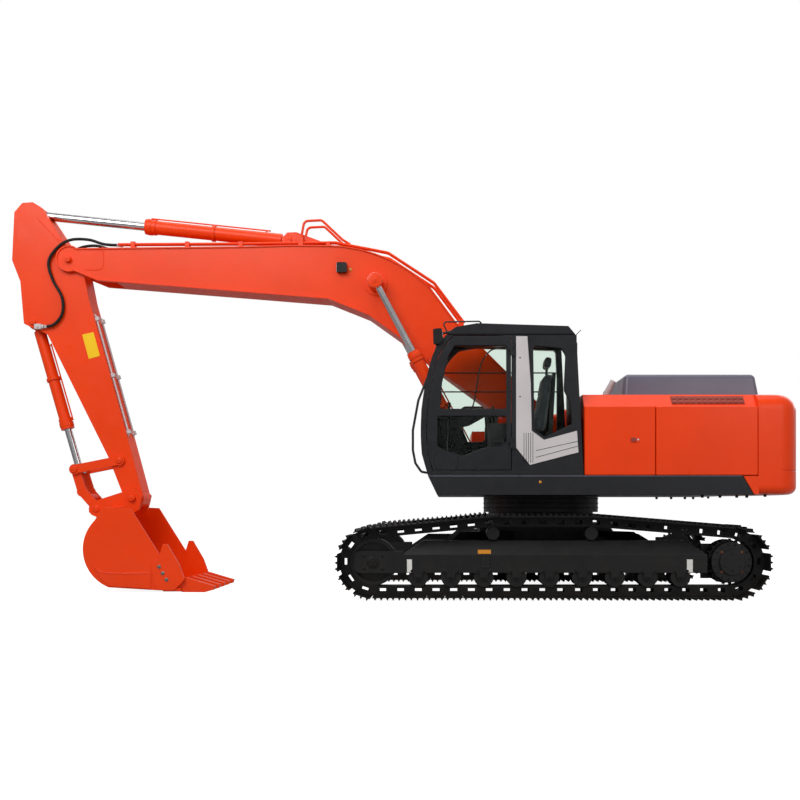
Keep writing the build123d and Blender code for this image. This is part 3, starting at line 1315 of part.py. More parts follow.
# Arm
with BuildPart() as arm:
    with BuildSketch(side_plane()) as arm_side:
        Polygon(*ARM_OUTLINE, align=None)
        fillet(arm_side.vertices(), ARM_CORNER)
        with Locations(BUCKET_PIN):
            Circle(ARM_NOSE_RADIUS)
    extrude(amount=ARM_HALF_WIDTH, both=True)
    # Open top end between two ears, for the arm cylinder's eye
    with BuildSketch(side_plane()):
        Polygon(*ARM_TOP_SLOT, align=None)
    extrude(amount=EYE_HALF_WIDTH + GAP, both=True, mode=Mode.SUBTRACT)
    # Bores for the boom's tip pin and the rocker's pin
    for pin in (BOOM_TIP, ROCKER_PIN):
        with BuildSketch(side_plane()):
            with Locations(pin):
                Circle(PIN_RADIUS + PIN_GAP)
        extrude(amount=ARM_HALF_WIDTH, both=True, mode=Mode.SUBTRACT)
    # Bucket pin, which carries the bucket's ears
    with BuildSketch(side_plane()):
        with Locations(BUCKET_PIN):
            Circle(PIN_RADIUS)
    extrude(amount=ARM_HALF_WIDTH + 80, both=True)
    # Slot between the arm's cheeks for the bucket cylinder's foot, with a boss on each cheek
    slot_half = CURL_BARREL + 3 * GAP
    with BuildSketch(side_plane()):
        with Locations(CURL_FOOT):
            Circle(EYE_RADIUS + 25)
        slot_end = between(CURL_FOOT, ROCKER_END, 0.1)
        slot_turn = direction(CURL_FOOT, ROCKER_END)
        with Locations(Location((*slot_end, 0), (0, 0, slot_turn))):
            Rectangle(3 * CURL_BARREL, 2 * slot_half + 6 * GAP)
    extrude(amount=slot_half, both=True, mode=Mode.SUBTRACT)
    for side in (-1, 1):
        with BuildSketch(side_plane(side * (EYE_HALF_WIDTH + GAP))):
            with Locations(CURL_FOOT):
                Circle(EYE_RADIUS - 3 * GAP)
        extrude(amount=-side * 60)
    with BuildSketch(side_plane()):
        with Locations(CURL_FOOT):
            Circle(PIN_RADIUS)
    extrude(amount=ARM_HALF_WIDTH + 12, both=True)

# Hoses from the boom's pipes round its tip to the blocks on the arm's sides
with BuildPart() as arm_hoses:
    for side in (-1, 1):
        add(draw_pipe([(x, -side * y, z) for x, y, z in HOSE_ROUTE], HOSE_BEND, HOSE_RADIUS))
        level_box(
            HOSE_BLOCK[0],
            tuple(sorted((side * (ARM_HALF_WIDTH + SEAT_GAP), side * 205))),
            HOSE_BLOCK[1],
        )

with BuildPart() as arm_pipes:
    pipe_run = ARM_PIPE_ROUTE[1:3]
    for side in (-1, 1):
        add(draw_pipe(
            [(x, side * ARM_PIPE_Y, z) for x, z in ARM_PIPE_ROUTE], 30, ARM_PIPE_RADIUS
        ))
        for share in ARM_PIPE_CLAMPS:
            clamp = between(*pipe_run, share)
            with BuildSketch(side_plane(side * ARM_PIPE_Y)):
                with Locations(Location((*clamp, 0), (0, 0, direction(*pipe_run)))):
                    Rectangle(46, 60)
            extrude(amount=20, both=True)
    add(arm.part, mode=Mode.SUBTRACT)


def link_plate(pins, radius):
    """Rounded bar through two or more points, as a face in the side view."""
    with BuildSketch() as bar:
        with Locations(*pins):
            Circle(radius)
        for start, end in zip(pins, pins[1:]):
            turn = direction(start, end)
            with Locations(Location((*between(start, end, 0.5), 0), (0, 0, turn))):
                Rectangle(length_of(start, end), 1.7 * radius)
    return bar.sketch


ear_y = ARM_HALF_WIDTH + GAP
with BuildPart() as rocker:
    for side in (-1, 1):
        with BuildSketch(side_plane(side * ear_y)):
            add(link_plate((ROCKER_PIN, ROCKER_END), LINK_RADIUS))
        extrude(amount=-side * ROCKER_PLATE)
    with BuildSketch(side_plane()):
        with Locations(ROCKER_PIN):
            Circle(PIN_RADIUS)
    extrude(amount=ear_y + ROCKER_PLATE + 10, both=True)

# The power link bows forwards, so that it passes the arm's nose when the bucket is curled in
link_outer = ear_y - GAP
link_turn = math.radians(direction(ROCKER_END, LINK_PIN))
link_middle = between(ROCKER_END, LINK_PIN, 0.5)
link_bow = (
    link_middle[0] + LINK_BOW * math.sin(link_turn),
    link_middle[1] - LINK_BOW * math.cos(link_turn),
)
with BuildPart() as power_link:
    for side in (-1, 1):
        with BuildSketch(side_plane(side * link_outer)):
            add(link_plate((ROCKER_END, link_bow, LINK_PIN), LINK_RADIUS))
        extrude(amount=side * LINK_CHEEK)
    with BuildSketch(side_plane()):
        with Locations(between(link_bow, LINK_PIN, 0.35)):
            Circle(CROSS_TUBE_RADIUS)
    extrude(amount=link_outer - LINK_CHEEK / 2, both=True)
    for side in (-1, 1):
        with BuildSketch(side_plane(side * link_outer)):
            with Locations(LINK_PIN):
                Circle(PIN_RADIUS + PIN_GAP)
        extrude(amount=side * LINK_CHEEK, mode=Mode.SUBTRACT)

# Bucket
with BuildPart() as bucket:
    with BuildSketch(side_plane()):
        with BuildLine():
            Polyline(*BUCKET_TOP)
            ThreePointArc(*BUCKET_BACK)
            Polyline(*BUCKET_MOUTH)
        make_face()
    extrude(amount=BUCKET_HALF_WIDTH, both=True)
    with BuildSketch(side_plane()):
        with BuildLine():
            Polyline(*HOLLOW_TOP)
            ThreePointArc(*HOLLOW_BACK)
            Polyline(*HOLLOW_MOUTH)
        make_face()
    extrude(amount=BUCKET_HALF_WIDTH - BUCKET_SIDE, both=True, mode=Mode.SUBTRACT)
    # Side cutters and wear bands
    for side in (-1, 1):
        with BuildSketch(side_plane(side * (BUCKET_HALF_WIDTH - BUCKET_SIDE))):
            Polygon(*SIDE_CUTTER, align=None)
        extrude(amount=-side * (BUCKET_SIDE + SIDE_CUTTER_OUT))
        with BuildSketch(side_plane(side * BUCKET_HALF_WIDTH)):
            Polygon(*WEAR_BAND, align=None)
        extrude(amount=-side * WEAR_BAND_OUT)
    # Lip plate
    level_box(LIP_X, (-BUCKET_HALF_WIDTH, BUCKET_HALF_WIDTH), LIP_Z)
    # Ears for the bucket pin and the link pin
    for side in (-1, 1):
        with BuildSketch(side_plane(side * ear_y)):
            Polygon(*BUCKET_EAR, align=None)
            with Locations(BUCKET_PIN, LINK_PIN):
                Circle(BUCKET_EAR_RADIUS)
        extrude(amount=-side * BUCKET_EAR_PLATE)
        with BuildSketch(side_plane(side * ear_y)):
            with Locations(BUCKET_PIN):
                Circle(PIN_RADIUS + PIN_GAP)
        extrude(amount=-side * BUCKET_EAR_PLATE, mode=Mode.SUBTRACT)
    with BuildSketch(side_plane()):
        with Locations(LINK_PIN):
            Circle(PIN_RADIUS)
    extrude(amount=ear_y + BUCKET_EAR_PLATE + GAP, both=True)

with BuildPart() as bucket_teeth:
    tooth_span = 2 * (BUCKET_HALF_WIDTH - BUCKET_SIDE - TOOTH_HALF_WIDTH - GAP)
    tooth_pitch = tooth_span / (TOOTH_COUNT - 1)
    for number in range(TOOTH_COUNT):
        tooth_y = (number - (TOOTH_COUNT - 1) / 2) * tooth_pitch
        with BuildSketch(side_plane(tooth_y)):
            Polygon(*TOOTH_OUTLINE, align=None)
        extrude(amount=TOOTH_HALF_WIDTH, both=True)

pieces = {
    "track_left": tracks["left"],
    "track_right": tracks["right"],
    "bottom_rollers": bottom_rollers,
    "carrier_rollers": carrier_rollers,
    "idlers": idlers,
    "sprockets": sprockets,
    "side_frames": side_frames,
    "centre_frame": centre_frame,
    "swing_bearing": swing_bearing,
    "swing_frame": swing_frame,
    "side_skirts": side_skirts,
    "counterweight": counterweight,
    "engine_housing": engine_housing,
    "left_front_door": left_front_door,
    "left_rear_door": left_rear_door,
    "pump_door": pump_door,
    "engine_hood": engine_hood,
    "side_grilles": side_grilles,
    "exhaust_pipe": exhaust_pipe,
    "fuel_tank": fuel_tank,
    "hydraulic_tank": hydraulic_tank,
    "tool_box": tool_box,
    "engine_block": engine_block,
    "radiator": radiator,
    "cab_roof": cab_roof,
    "cab_floor": cab_floor,
    "cab_front": cab_front,
    "cab_rear": cab_rear,
    "cab_right_wall": cab_right_wall,
    "cab_left_wall": cab_left_wall,
    "cab_door": cab_door,
    "cab_door_glass": cab_door_glass,
    "cab_glass": cab_glass,
    "cab_trim": cab_trim,
    "hand_rails": hand_rails,
    "roof_fittings": roof_fittings,
    "seat": seat,
    "control_consoles": control_consoles,
    "boom": boom,
    "boom_pipes": boom_pipes,
    "boom_lamp": boom_lamp,
    "lift_barrels": lift_barrels,
    "lift_rods": lift_rods,
    "arm_cylinder_barrel": arm_cylinder_barrel,
    "arm_cylinder_rod": arm_cylinder_rod,
    "bucket_cylinder_barrel": bucket_cylinder_barrel,
    "bucket_cylinder_rod": bucket_cylinder_rod,
    "arm": arm,
    "arm_hoses": arm_hoses,
    "arm_pipes": arm_pipes,
    "rocker": rocker,
    "power_link": power_link,
    "bucket": bucket,
    "bucket_teeth": bucket_teeth,
}
for label, piece in pieces.items():
    piece.part.label = label
    export_step(piece.part, f"parts/{label}.step")
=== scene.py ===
import json
import math

import bmesh
import bpy
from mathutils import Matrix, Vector


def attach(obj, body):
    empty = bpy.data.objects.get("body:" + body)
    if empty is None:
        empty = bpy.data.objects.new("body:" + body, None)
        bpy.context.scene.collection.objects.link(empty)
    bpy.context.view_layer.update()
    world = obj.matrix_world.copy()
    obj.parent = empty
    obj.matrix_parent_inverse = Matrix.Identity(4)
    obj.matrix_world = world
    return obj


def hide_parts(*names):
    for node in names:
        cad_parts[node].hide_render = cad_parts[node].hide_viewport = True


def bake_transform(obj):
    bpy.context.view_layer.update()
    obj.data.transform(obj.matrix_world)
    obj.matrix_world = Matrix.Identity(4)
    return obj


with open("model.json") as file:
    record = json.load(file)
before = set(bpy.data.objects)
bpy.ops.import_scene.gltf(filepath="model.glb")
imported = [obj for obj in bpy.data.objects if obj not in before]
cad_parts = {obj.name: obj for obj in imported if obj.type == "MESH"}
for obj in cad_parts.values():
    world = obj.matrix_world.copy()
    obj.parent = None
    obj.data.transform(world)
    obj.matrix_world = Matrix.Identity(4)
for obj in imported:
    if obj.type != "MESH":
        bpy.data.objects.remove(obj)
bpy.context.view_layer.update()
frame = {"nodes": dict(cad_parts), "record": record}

# The scene is in metres. The points of the pieces are in millimetres from the swing axis, as in
# the part's source: x to the rear, y to the right and z up
SWING_X = 1.714
MM_PER_METRE = 1000

REAR = (1, 0, 0)
FRONT = (-1, 0, 0)
LEFT = (0, -1, 0)
RIGHT = (0, 1, 0)
UP = (0, 0, 1)
DOWN = (0, 0, -1)
SIDES = (-1, 1)


# Colours
def srgb(red, green, blue):
    """Linear colour of a screen colour given as 0 to 255."""
    linear = []
    for value in (red, green, blue):
        share = value / 255
        linear.append(share / 12.92 if share <= 0.04045 else ((share + 0.055) / 1.055) ** 2.4)
    return (*linear, 1.0)


ORANGE = srgb(235, 62, 3)
DARK_PAINT = srgb(27, 28, 32)
FRAME_BLACK = srgb(17, 17, 18)
TRACK_BLACK = srgb(15, 15, 16)
WORN_STEEL = srgb(120, 116, 110)
CHROME = srgb(205, 205, 208)
HOOD_GREY = srgb(98, 97, 112)
SILVER = srgb(196, 190, 190)
PLASTIC = srgb(15, 15, 17)
RUBBER = srgb(12, 12, 13)
FABRIC = srgb(44, 46, 52)
GLASS_TINT = srgb(232, 241, 235)
DUST = srgb(128, 112, 92)
STUDIO_WHITE = (1, 1, 1, 1)


def shade(colour, factor):
    """Darker or lighter version of a colour."""
    return (*[min(1.0, value * factor) for value in colour[:3]], 1.0)


# Shader nodes
# The mix node names its sockets for numbers and colours alike, so the colours go by their order
MIX_COLOURS = (6, 7)
MIX_RESULT = 2


def link(tree, source, target):
    """Join an output to an input."""
    tree.links.new(source, target)


def add_node(tree, kind, **values):
    """Node with its inputs set by name and its other settings by attribute."""
    node = tree.nodes.new(kind)
    for name, value in values.items():
        if name in node.inputs:
            node.inputs[name].default_value = value
        else:
            setattr(node, name, value)
    return node


def set_inputs(node, values):
    """Give inputs of a node fixed values, by name."""
    for name, value in values.items():
        node.inputs[name].default_value = value


def noise(tree, coordinates, scale, detail=4.0, roughness=0.55):
    """Noise in the object's own coordinates, so that it sticks to a moving piece."""
    node = add_node(tree, "ShaderNodeTexNoise", Scale=scale, Detail=detail, Roughness=roughness)
    link(tree, coordinates.outputs["Object"], node.inputs["Vector"])
    return node.outputs["Fac"]


def ramp(tree, value, low, high, to_low=0.0, to_high=1.0):
    """Value moved from one range to another, held at the ends."""
    node = add_node(tree, "ShaderNodeMapRange")
    set_inputs(node, {"From Min": low, "From Max": high, "To Min": to_low, "To Max": to_high})
    link(tree, value, node.inputs["Value"])
    return node.outputs["Result"]


def times(tree, first, second):
    """Product of a node's output and a second output or a fixed number."""
    node = add_node(tree, "ShaderNodeMath", operation="MULTIPLY")
    link(tree, first, node.inputs[0])
    if isinstance(second, float):
        node.inputs[1].default_value = second
    else:
        link(tree, second, node.inputs[1])
    return node.outputs[0]


def mix_colour(tree, share, first, second):
    """Mix of two colours, each a fixed value or another node's output."""
    node = add_node(tree, "ShaderNodeMix", data_type="RGBA")
    link(tree, share, node.inputs["Factor"])
    for index, colour in zip(MIX_COLOURS, (first, second)):
        if isinstance(colour, tuple):
            node.inputs[index].default_value = colour
        else:
            link(tree, colour, node.inputs[index])
    return node.outputs[MIX_RESULT]


def edge_mask(tree, bevel):
    """One along convex and concave edges, where the bevelled normal leaves the true one."""
    geometry = add_node(tree, "ShaderNodeNewGeometry")
    dot = add_node(tree, "ShaderNodeVectorMath", operation="DOT_PRODUCT")
    link(tree, bevel.outputs["Normal"], dot.inputs[0])
    link(tree, geometry.outputs["Normal"], dot.inputs[1])
    return ramp(tree, dot.outputs["Value"], 0.985, 0.90)


# Materials
# Scales of the noises, in waves per metre
CLOUD_SCALE = 1.7
SPECK_SCALE = 38.0
DUST_SCALE = 6.0
POLISH_SCALE = 9.0
SMEAR_SCALE = 4.0
FADING_SCALE = 14.0
WEAVE_SCALE = 900.0


def new_material(name):
    """Material with its node tree and its shader."""
    material = bpy.data.materials.new(name)
    material.use_nodes = True
    tree = material.node_tree
    return material, tree, tree.nodes["Principled BSDF"]


def painted(name, colour, roughness, metallic=0.0, coat=0.0, variation=0.12, grain=140.0,
            grain_depth=0.0006, edge_radius=0.008, edge_colour=None, edge_share=0.6, dust=0.0,
            dust_top=1.1, specular=0.3):
    """Painted or bare metal: cloudy colour, fine grain, softened edges lightened as wear or as painted
    highlight, dust low down.
    """
    material, tree, shader = new_material(name)
    coordinates = add_node(tree, "ShaderNodeTexCoord")

    cloud = noise(tree, coordinates, CLOUD_SCALE, 5.0)
    speck = noise(tree, coordinates, SPECK_SCALE, 3.0)
    darker = shade(colour, 1.0 - variation)
    lighter = shade(colour, 1.0 + variation)
    base = mix_colour(tree, ramp(tree, cloud, 0.3, 0.7), darker, lighter)

    bevel = add_node(tree, "ShaderNodeBevel", samples=4, Radius=edge_radius)
    # Lighter edges: worn paint on most finishes, a painted highlight on the track frame's black
    if edge_colour is not None:
        wear_and_highlight = times(tree, edge_mask(tree, bevel), ramp(tree, speck, 0.45, 0.62, 0.0, edge_share))
        base = mix_colour(tree, wear_and_highlight, base, edge_colour)

    # Dust is thickest at the ground and ends at the height dust_top
    split = add_node(tree, "ShaderNodeSeparateXYZ")
    link(tree, coordinates.outputs["Object"], split.inputs[0])
    low_down = ramp(tree, split.outputs["Z"], dust_top, 0.0, 0.0, dust)
    patchy = ramp(tree, noise(tree, coordinates, DUST_SCALE, 6.0, 0.65), 0.35, 0.75)
    base = mix_colour(tree, times(tree, low_down, patchy), base, DUST)
    link(tree, base, shader.inputs["Base Color"])

    polish = noise(tree, coordinates, POLISH_SCALE, 6.0)
    rough = ramp(tree, polish, 0.25, 0.75, max(0.03, roughness - 0.09), roughness + 0.12)
    link(tree, rough, shader.inputs["Roughness"])
    set_inputs(shader, {"Metallic": metallic, "Specular IOR Level": specular, "Coat Weight": coat,
                        "Coat Roughness": 0.12})

    bump = add_node(tree, "ShaderNodeBump", Strength=0.35, Distance=grain_depth)
    link(tree, noise(tree, coordinates, grain, 3.0), bump.inputs["Height"])
    link(tree, bevel.outputs["Normal"], bump.inputs["Normal"])
    link(tree, bump.outputs["Normal"], shader.inputs["Normal"])
    return material


def glass(name, colour):
    """Thin tinted pane that lets the light through, with faint smears."""
    material, tree, shader = new_material(name)
    coordinates = add_node(tree, "ShaderNodeTexCoord")
    set_inputs(shader, {"Base Color": colour, "Transmission Weight": 1.0, "IOR": 1.06})
    smear = ramp(tree, noise(tree, coordinates, SMEAR_SCALE, 5.0), 0.45, 0.8, 0.0, 0.09)
    link(tree, smear, shader.inputs["Roughness"])
    return material


def fabric(name, colour):
    """Woven seat cloth with a soft sheen."""
    material, tree, shader = new_material(name)
    coordinates = add_node(tree, "ShaderNodeTexCoord")
    threads = add_node(tree, "ShaderNodeTexVoronoi", Scale=WEAVE_SCALE)
    link(tree, coordinates.outputs["Object"], threads.inputs["Vector"])
    fading = ramp(tree, noise(tree, coordinates, FADING_SCALE, 5.0), 0.3, 0.7)
    base = mix_colour(tree, fading, shade(colour, 0.75), shade(colour, 1.25))
    link(tree, base, shader.inputs["Base Color"])
    set_inputs(shader, {"Roughness": 0.9, "Sheen Weight": 0.35})
    bump = add_node(tree, "ShaderNodeBump", Strength=0.5, Distance=0.0008)
    link(tree, threads.outputs["Distance"], bump.inputs["Height"])
    link(tree, bump.outputs["Normal"], shader.inputs["Normal"])
    return material


MATERIALS = {
    "orange_paint": painted("orange_paint", ORANGE, 0.34, coat=0.06, variation=0.05,
                            edge_colour=shade(ORANGE, 1.4), edge_share=0.25, dust=0.05, dust_top=0.9,
                            specular=0.22),
    "dark_paint": painted("dark_paint", DARK_PAINT, 0.38, coat=0.04, variation=0.10,
                          edge_colour=shade(DARK_PAINT, 3.0), edge_share=0.5, dust=0.04, dust_top=1.4),
    # Its much lighter edges are a painted highlight along the edges of the frame walls
    "frame_paint": painted("frame_paint", FRAME_BLACK, 0.42, variation=0.14,
                           edge_colour=shade(FRAME_BLACK, 8.0), dust=0.05, dust_top=1.0),
    "track_steel": painted("track_steel", TRACK_BLACK, 0.50, metallic=0.3, variation=0.22,
                           grain=90.0, grain_depth=0.0012, edge_radius=0.004,
                           edge_colour=srgb(84, 81, 78), edge_share=0.7, dust=0.07, dust_top=0.6),
    "chrome_rod": painted("chrome_rod", CHROME, 0.14, metallic=1.0, variation=0.03, grain_depth=0.0001),
    "hood_grey": painted("hood_grey", HOOD_GREY, 0.34, coat=0.15, variation=0.07,
                         edge_colour=shade(HOOD_GREY, 1.6), edge_share=0.3),
    "silver_paint": painted("silver_paint", SILVER, 0.34, coat=0.1, variation=0.06),
    "black_plastic": painted("black_plastic", PLASTIC, 0.48, grain=420.0, edge_radius=0.004),
    "hose_rubber": painted("hose_rubber", RUBBER, 0.55, variation=0.15, grain=260.0, edge_radius=0.003),
    "window_glass": glass("window_glass", GLASS_TINT),
    "seat_fabric": fabric("seat_fabric", FABRIC),
}

# Looks of small pieces that no slot of the part has
WORN = painted("worn_steel", WORN_STEEL, 0.40, metallic=0.8, variation=0.2,
               edge_colour=srgb(190, 188, 184), dust=0.2, dust_top=0.6)
RUSTY = painted("rusty_bolts", srgb(104, 62, 44), 0.62, metallic=0.4, variation=0.3, dust=0.2)
# Dark red as painted shade: the shade in the side grilles' slots and in the latches' recesses
PAINTED_SHADE_RED = painted("painted_shade_red", srgb(150, 62, 50), 0.55, variation=0.2, grain=600.0)
YELLOW = painted("yellow_plate", srgb(240, 190, 0), 0.40, variation=0.05)
WHITE = painted("white_plate", srgb(222, 220, 214), 0.45, variation=0.05, dust=0.15)
AMBER = painted("amber_lens", srgb(206, 132, 24), 0.18, coat=0.6, variation=0.06)
RED_LENS = painted("red_lens", srgb(168, 22, 18), 0.18, coat=0.6, variation=0.06)
MIRROR = painted("mirror_glass", srgb(208, 214, 216), 0.05, metallic=1.0, variation=0.02, grain_depth=0.0)
LENS = painted("lamp_lens", srgb(214, 218, 220), 0.08, coat=0.8, variation=0.04, grain=90.0,
               grain_depth=0.002)


def dress(node, material):
    """Show a node of the part in one material."""
    for material_slot in node.material_slots:
        material_slot.material = material
    if not node.material_slots:
        node.data.materials.append(material)


# Every node of the part takes its own slot's look, but the side grilles' mesh is dark red as painted
# shade of its slots
slot_of_node = {row["node"]: row["material_slot"] for row in frame["record"]["subparts"]}
for node_name, node in frame["nodes"].items():
    dress(node, MATERIALS[slot_of_node[node_name]])
dress(frame["nodes"]["side_grilles"], PAINTED_SHADE_RED)


# Drawing of the pieces
# Edges sharper than this many degrees stay crisp
SHARP_ANGLE = 38.0
BEVEL_SEGMENTS = 2
WASHER_RATIO = 1.35
HEAD_TOP_RATIO = 0.8
# Turn of a weld's ripple from one ring to the next, in radians
RIPPLE_STEP = 2.1


def place(x, y, z):
    """Point of the scene for a point in millimetres from the swing axis."""
    return Vector((x / MM_PER_METRE + SWING_X, y / MM_PER_METRE, z / MM_PER_METRE))


def surface(node_name, start, heading):
    """Where a line from a point first meets a node of the part, in millimetres as above."""
    node = frame["nodes"][node_name]
    inverse = node.matrix_world.inverted()
    way = (inverse.to_3x3() @ Vector(heading)).normalized()
    found, spot, _, _ = node.ray_cast(inverse @ place(*start), way)
    if not found:
        return None
    spot = node.matrix_world @ spot
    return (spot.x - SWING_X) * MM_PER_METRE, spot.y * MM_PER_METRE, spot.z * MM_PER_METRE


def square_to(axis):
    """Two unit vectors square to an axis and to each other."""
    axis = Vector(axis).normalized()
    helper = Vector(UP) if abs(axis.z) < 0.9 else Vector(REAR)
    first = axis.cross(helper).normalized()
    return first, axis.cross(first)


def circle(first, second, count, start=0.0):
    """Unit vectors evenly all round, turning from the first one given towards the second."""
    turns = [2 * math.pi * (step + start) / count for step in range(count)]
    return [first * math.cos(turn) + second * math.sin(turn) for turn in turns]


def soft_line(points, steps, closed=False):
    """Points of a smooth curve through the given ones."""
    count = len(points)
    line = []
    for index in range(count if closed else count - 1):
        around = [index + shift for shift in (-1, 0, 1, 2)]
        if closed:
            around = [number % count for number in around]
        else:
            around = [min(max(number, 0), count - 1) for number in around]
        before, start, end, after = (points[number] for number in around)
        for step in range(steps):
            share = step / steps
            line.append(
                0.5 * (2 * start + (end - before) * share
                       + (2 * before - 5 * start + 4 * end - after) * share**2
                       + (3 * start - before - 3 * end + after) * share**3)
            )
    return line if closed else line + [points[-1]]


def rectangle(x0, x1, z0, z1):
    """Corners in order, the lowest first."""
    return [(x0, z0), (x1, z0), (x1, z1), (x0, z1)]


def rounded(outline, radius, steps=4):
    """Outline with each corner turned into a short curve."""
    line = []
    for index, corner in enumerate(outline):
        corner = Vector(corner)
        before = Vector(outline[index - 1])
        after = Vector(outline[(index + 1) % len(outline)])
        start = corner + (before - corner).normalized() * radius
        end = corner + (after - corner).normalized() * radius
        for step in range(steps + 1):
            share = step / steps
            bent = start * (1 - share) ** 2 + corner * 2 * share * (1 - share) + end * share**2
            line.append(tuple(bent))
    return line


class Draft:
    """Mesh under construction."""

    def __init__(self):
        self.mesh = bmesh.new()

    def skin(self, rings, closed=False):
        """Faces over rings that have the same count of points; open ends are capped."""
        made = [[self.mesh.verts.new(point) for point in ring] for ring in rings]
        pairs = list(zip(made, made[1:])) + ([(made[-1], made[0])] if closed else [])
        for near, far in pairs:
            for index in range(len(near)):
                after = (index + 1) % len(near)
                self.mesh.faces.new((near[index], near[after], far[after], far[index]))
        if not closed:
            self.mesh.faces.new(made[0][::-1])
            self.mesh.faces.new(made[-1])

    def prism(self, corners, along):
        """Flat outline pushed along a vector."""
        points = [place(*corner) for corner in corners]
        shift = Vector(along) / MM_PER_METRE
        self.skin([points, [point + shift for point in points]])

    def plate(self, outline, y, depth):
        """Outline of x and z, from y over a depth."""
        self.prism([(x, y, z) for x, z in outline], (0, depth, 0))

    def block(self, low, high):
        """Box between two corners."""
        (x0, y0, z0), (x1, y1, z1) = low, high
        self.plate(rectangle(x0, x1, z0, z1), y0, y1 - y0)

    def lathe(self, centre, axis, profile, segments=28, closed=False):
        """Turned form; rows of the profile are a radius and a distance along the axis."""
        middle = place(*centre)
        way = Vector(axis).normalized()
        spokes = circle(*square_to(axis), segments)
        rings = []
        for radius, along in profile:
            hub = middle + way * (along / MM_PER_METRE)
            rings.append([hub + spoke * (radius / MM_PER_METRE) for spoke in spokes])
        self.skin(rings, closed)

    def bolt(self, centre, axis, radius, height):
        """Washer and six-sided head."""
        washer = radius * WASHER_RATIO
        self.lathe(centre, axis, [(washer, -2), (washer, 2)], segments=16)
        head = [(radius, 0), (radius, height - 2), (radius * HEAD_TOP_RATIO, height)]
        self.lathe(centre, axis, head, segments=6)

    def bolt_ring(self, centre, axis, ring_radius, count, radius, height):
        """Bolts evenly all round a centre."""
        for spoke in circle(*square_to(axis), count, start=0.5):
            self.bolt(tuple(Vector(centre) + spoke * ring_radius), axis, radius, height)

    def tube(self, points, radius, segments=12, steps=1, closed=False, ripple=0.0):
        """Round bar, pipe or bead of weld along a line."""
        line = soft_line([place(*point) for point in points], steps, closed)
        count = len(line)
        side = None
        rings = []
        for index, point in enumerate(line):
            ahead = line[(index + 1) % count] if closed else line[min(index + 1, count - 1)]
            behind = line[index - 1] if closed else line[max(index - 1, 0)]
            along = (ahead - behind).normalized()
            side = square_to(along)[0] if side is None else side
            side = (side - along * side.dot(along)).normalized()
            size = radius / MM_PER_METRE * (1 + ripple * math.sin(index * RIPPLE_STEP))
            rings.append([point + spoke * size for spoke in circle(side, along.cross(side), segments)])
        self.skin(rings, closed)

    def finish(self, name, body, slot=None, material=None, bevel=0.0):
        """Object of the draft, riding on a body of the part."""
        bmesh.ops.recalc_face_normals(self.mesh, faces=self.mesh.faces)
        mesh = bpy.data.meshes.new(name)
        self.mesh.to_mesh(mesh)
        self.mesh.free()
        mesh.shade_smooth()
        mesh.set_sharp_from_angle(angle=math.radians(SHARP_ANGLE))
        mesh.materials.append(material or MATERIALS[slot])
        piece = bpy.data.objects.new(name, mesh)
        bpy.context.collection.objects.link(piece)
        if bevel:
            edges = piece.modifiers.new("edges", "BEVEL")
            edges.width = bevel / MM_PER_METRE
            edges.segments = BEVEL_SEGMENTS
            edges.limit_method = "ANGLE"
        if body:
            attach(piece, body)
        return piece


# Seals of the side windows: outlines of x and z
DOOR_UPPER_WINDOW = [(-1220, 2045), (-1200, 2330), (-1130, 2620), (-1060, 2736), (-492, 2736),
                     (-492, 2045)]
DOOR_LOWER_WINDOW = [(-1245, 1975), (-1248, 1640), (-1150, 1598), (-977, 1535), (-772, 1612),
                     (-492, 1682), (-492, 1975)]
REAR_SIDE_WINDOW = [(-215, 2735), (95, 2705), (146, 2627), (128, 2251), (195, 2120), (215, 1880),
                    (-85, 1740), (-200, 1815)]
SIDE_PANE_Y = -1346
SEAL_RADIUS = 8
WINDOW_ROUNDING = 28


def side_window_seals():
    """Seals of the door's two panes and of the pane behind the door."""
    for name, body, outlines in (
        ("door_window_seals", "cab_door", (DOOR_UPPER_WINDOW, DOOR_LOWER_WINDOW)),
        ("rear_window_seal", "house", (REAR_SIDE_WINDOW,)),
    ):
        seals = Draft()
        for outline in outlines:
            ring = [(x, SIDE_PANE_Y, z) for x, z in rounded(outline, WINDOW_ROUNDING)]
            seals.tube(ring, SEAL_RADIUS, segments=8, closed=True)
        seals.finish(name, body, "black_plastic")


# Windscreen: height and x of each bend of its slanted face, and the heights of its two panes
FRONT_SLOPE = [(1470, -1381), (1830, -1406), (1900, -1407), (2090, -1406), (2350, -1352),
               (2618, -1295), (2790, -1196)]
FRONT_PANES = [(1470, 1830), (1900, 2790)]
FRONT_LEFT_Y = -1310
FRONT_RIGHT_Y = -490
FRONT_SEAL_INSET = 14


def windscreen_seals():
    """Seals round the two front panes."""
    seals = Draft()
    for low, high in FRONT_PANES:
        rise = [(x + FRONT_SEAL_INSET, z) for z, x in FRONT_SLOPE if low <= z <= high]
        left_side = [(x, FRONT_LEFT_Y, z) for x, z in rise]
        right_side = [(x, FRONT_RIGHT_Y, z) for x, z in reversed(rise)]
        seals.tube(left_side + right_side, SEAL_RADIUS, segments=8, closed=True)
    seals.finish("windscreen_seals", "house", "black_plastic")


WIPER_PIVOT = (-1402, -900, 1865)
WIPER_ARM = [(-1418, -900, 1865), (-1421, -840, 2090), (-1390, -760, 2260)]
WIPER_BLADE = [(-1421, -790, 2060), (-1378, -745, 2290), (-1330, -700, 2500)]


def wiper():
    """Wiper on the upper front pane."""
    parked = Draft()
    parked.lathe(WIPER_PIVOT, FRONT, [(26, -6), (26, 14), (18, 20)])
    parked.tube(WIPER_ARM, radius=7, segments=8, steps=4)
    parked.tube(WIPER_BLADE, radius=6, segments=8, steps=4)
    parked.finish("wiper", "house", "black_plastic")


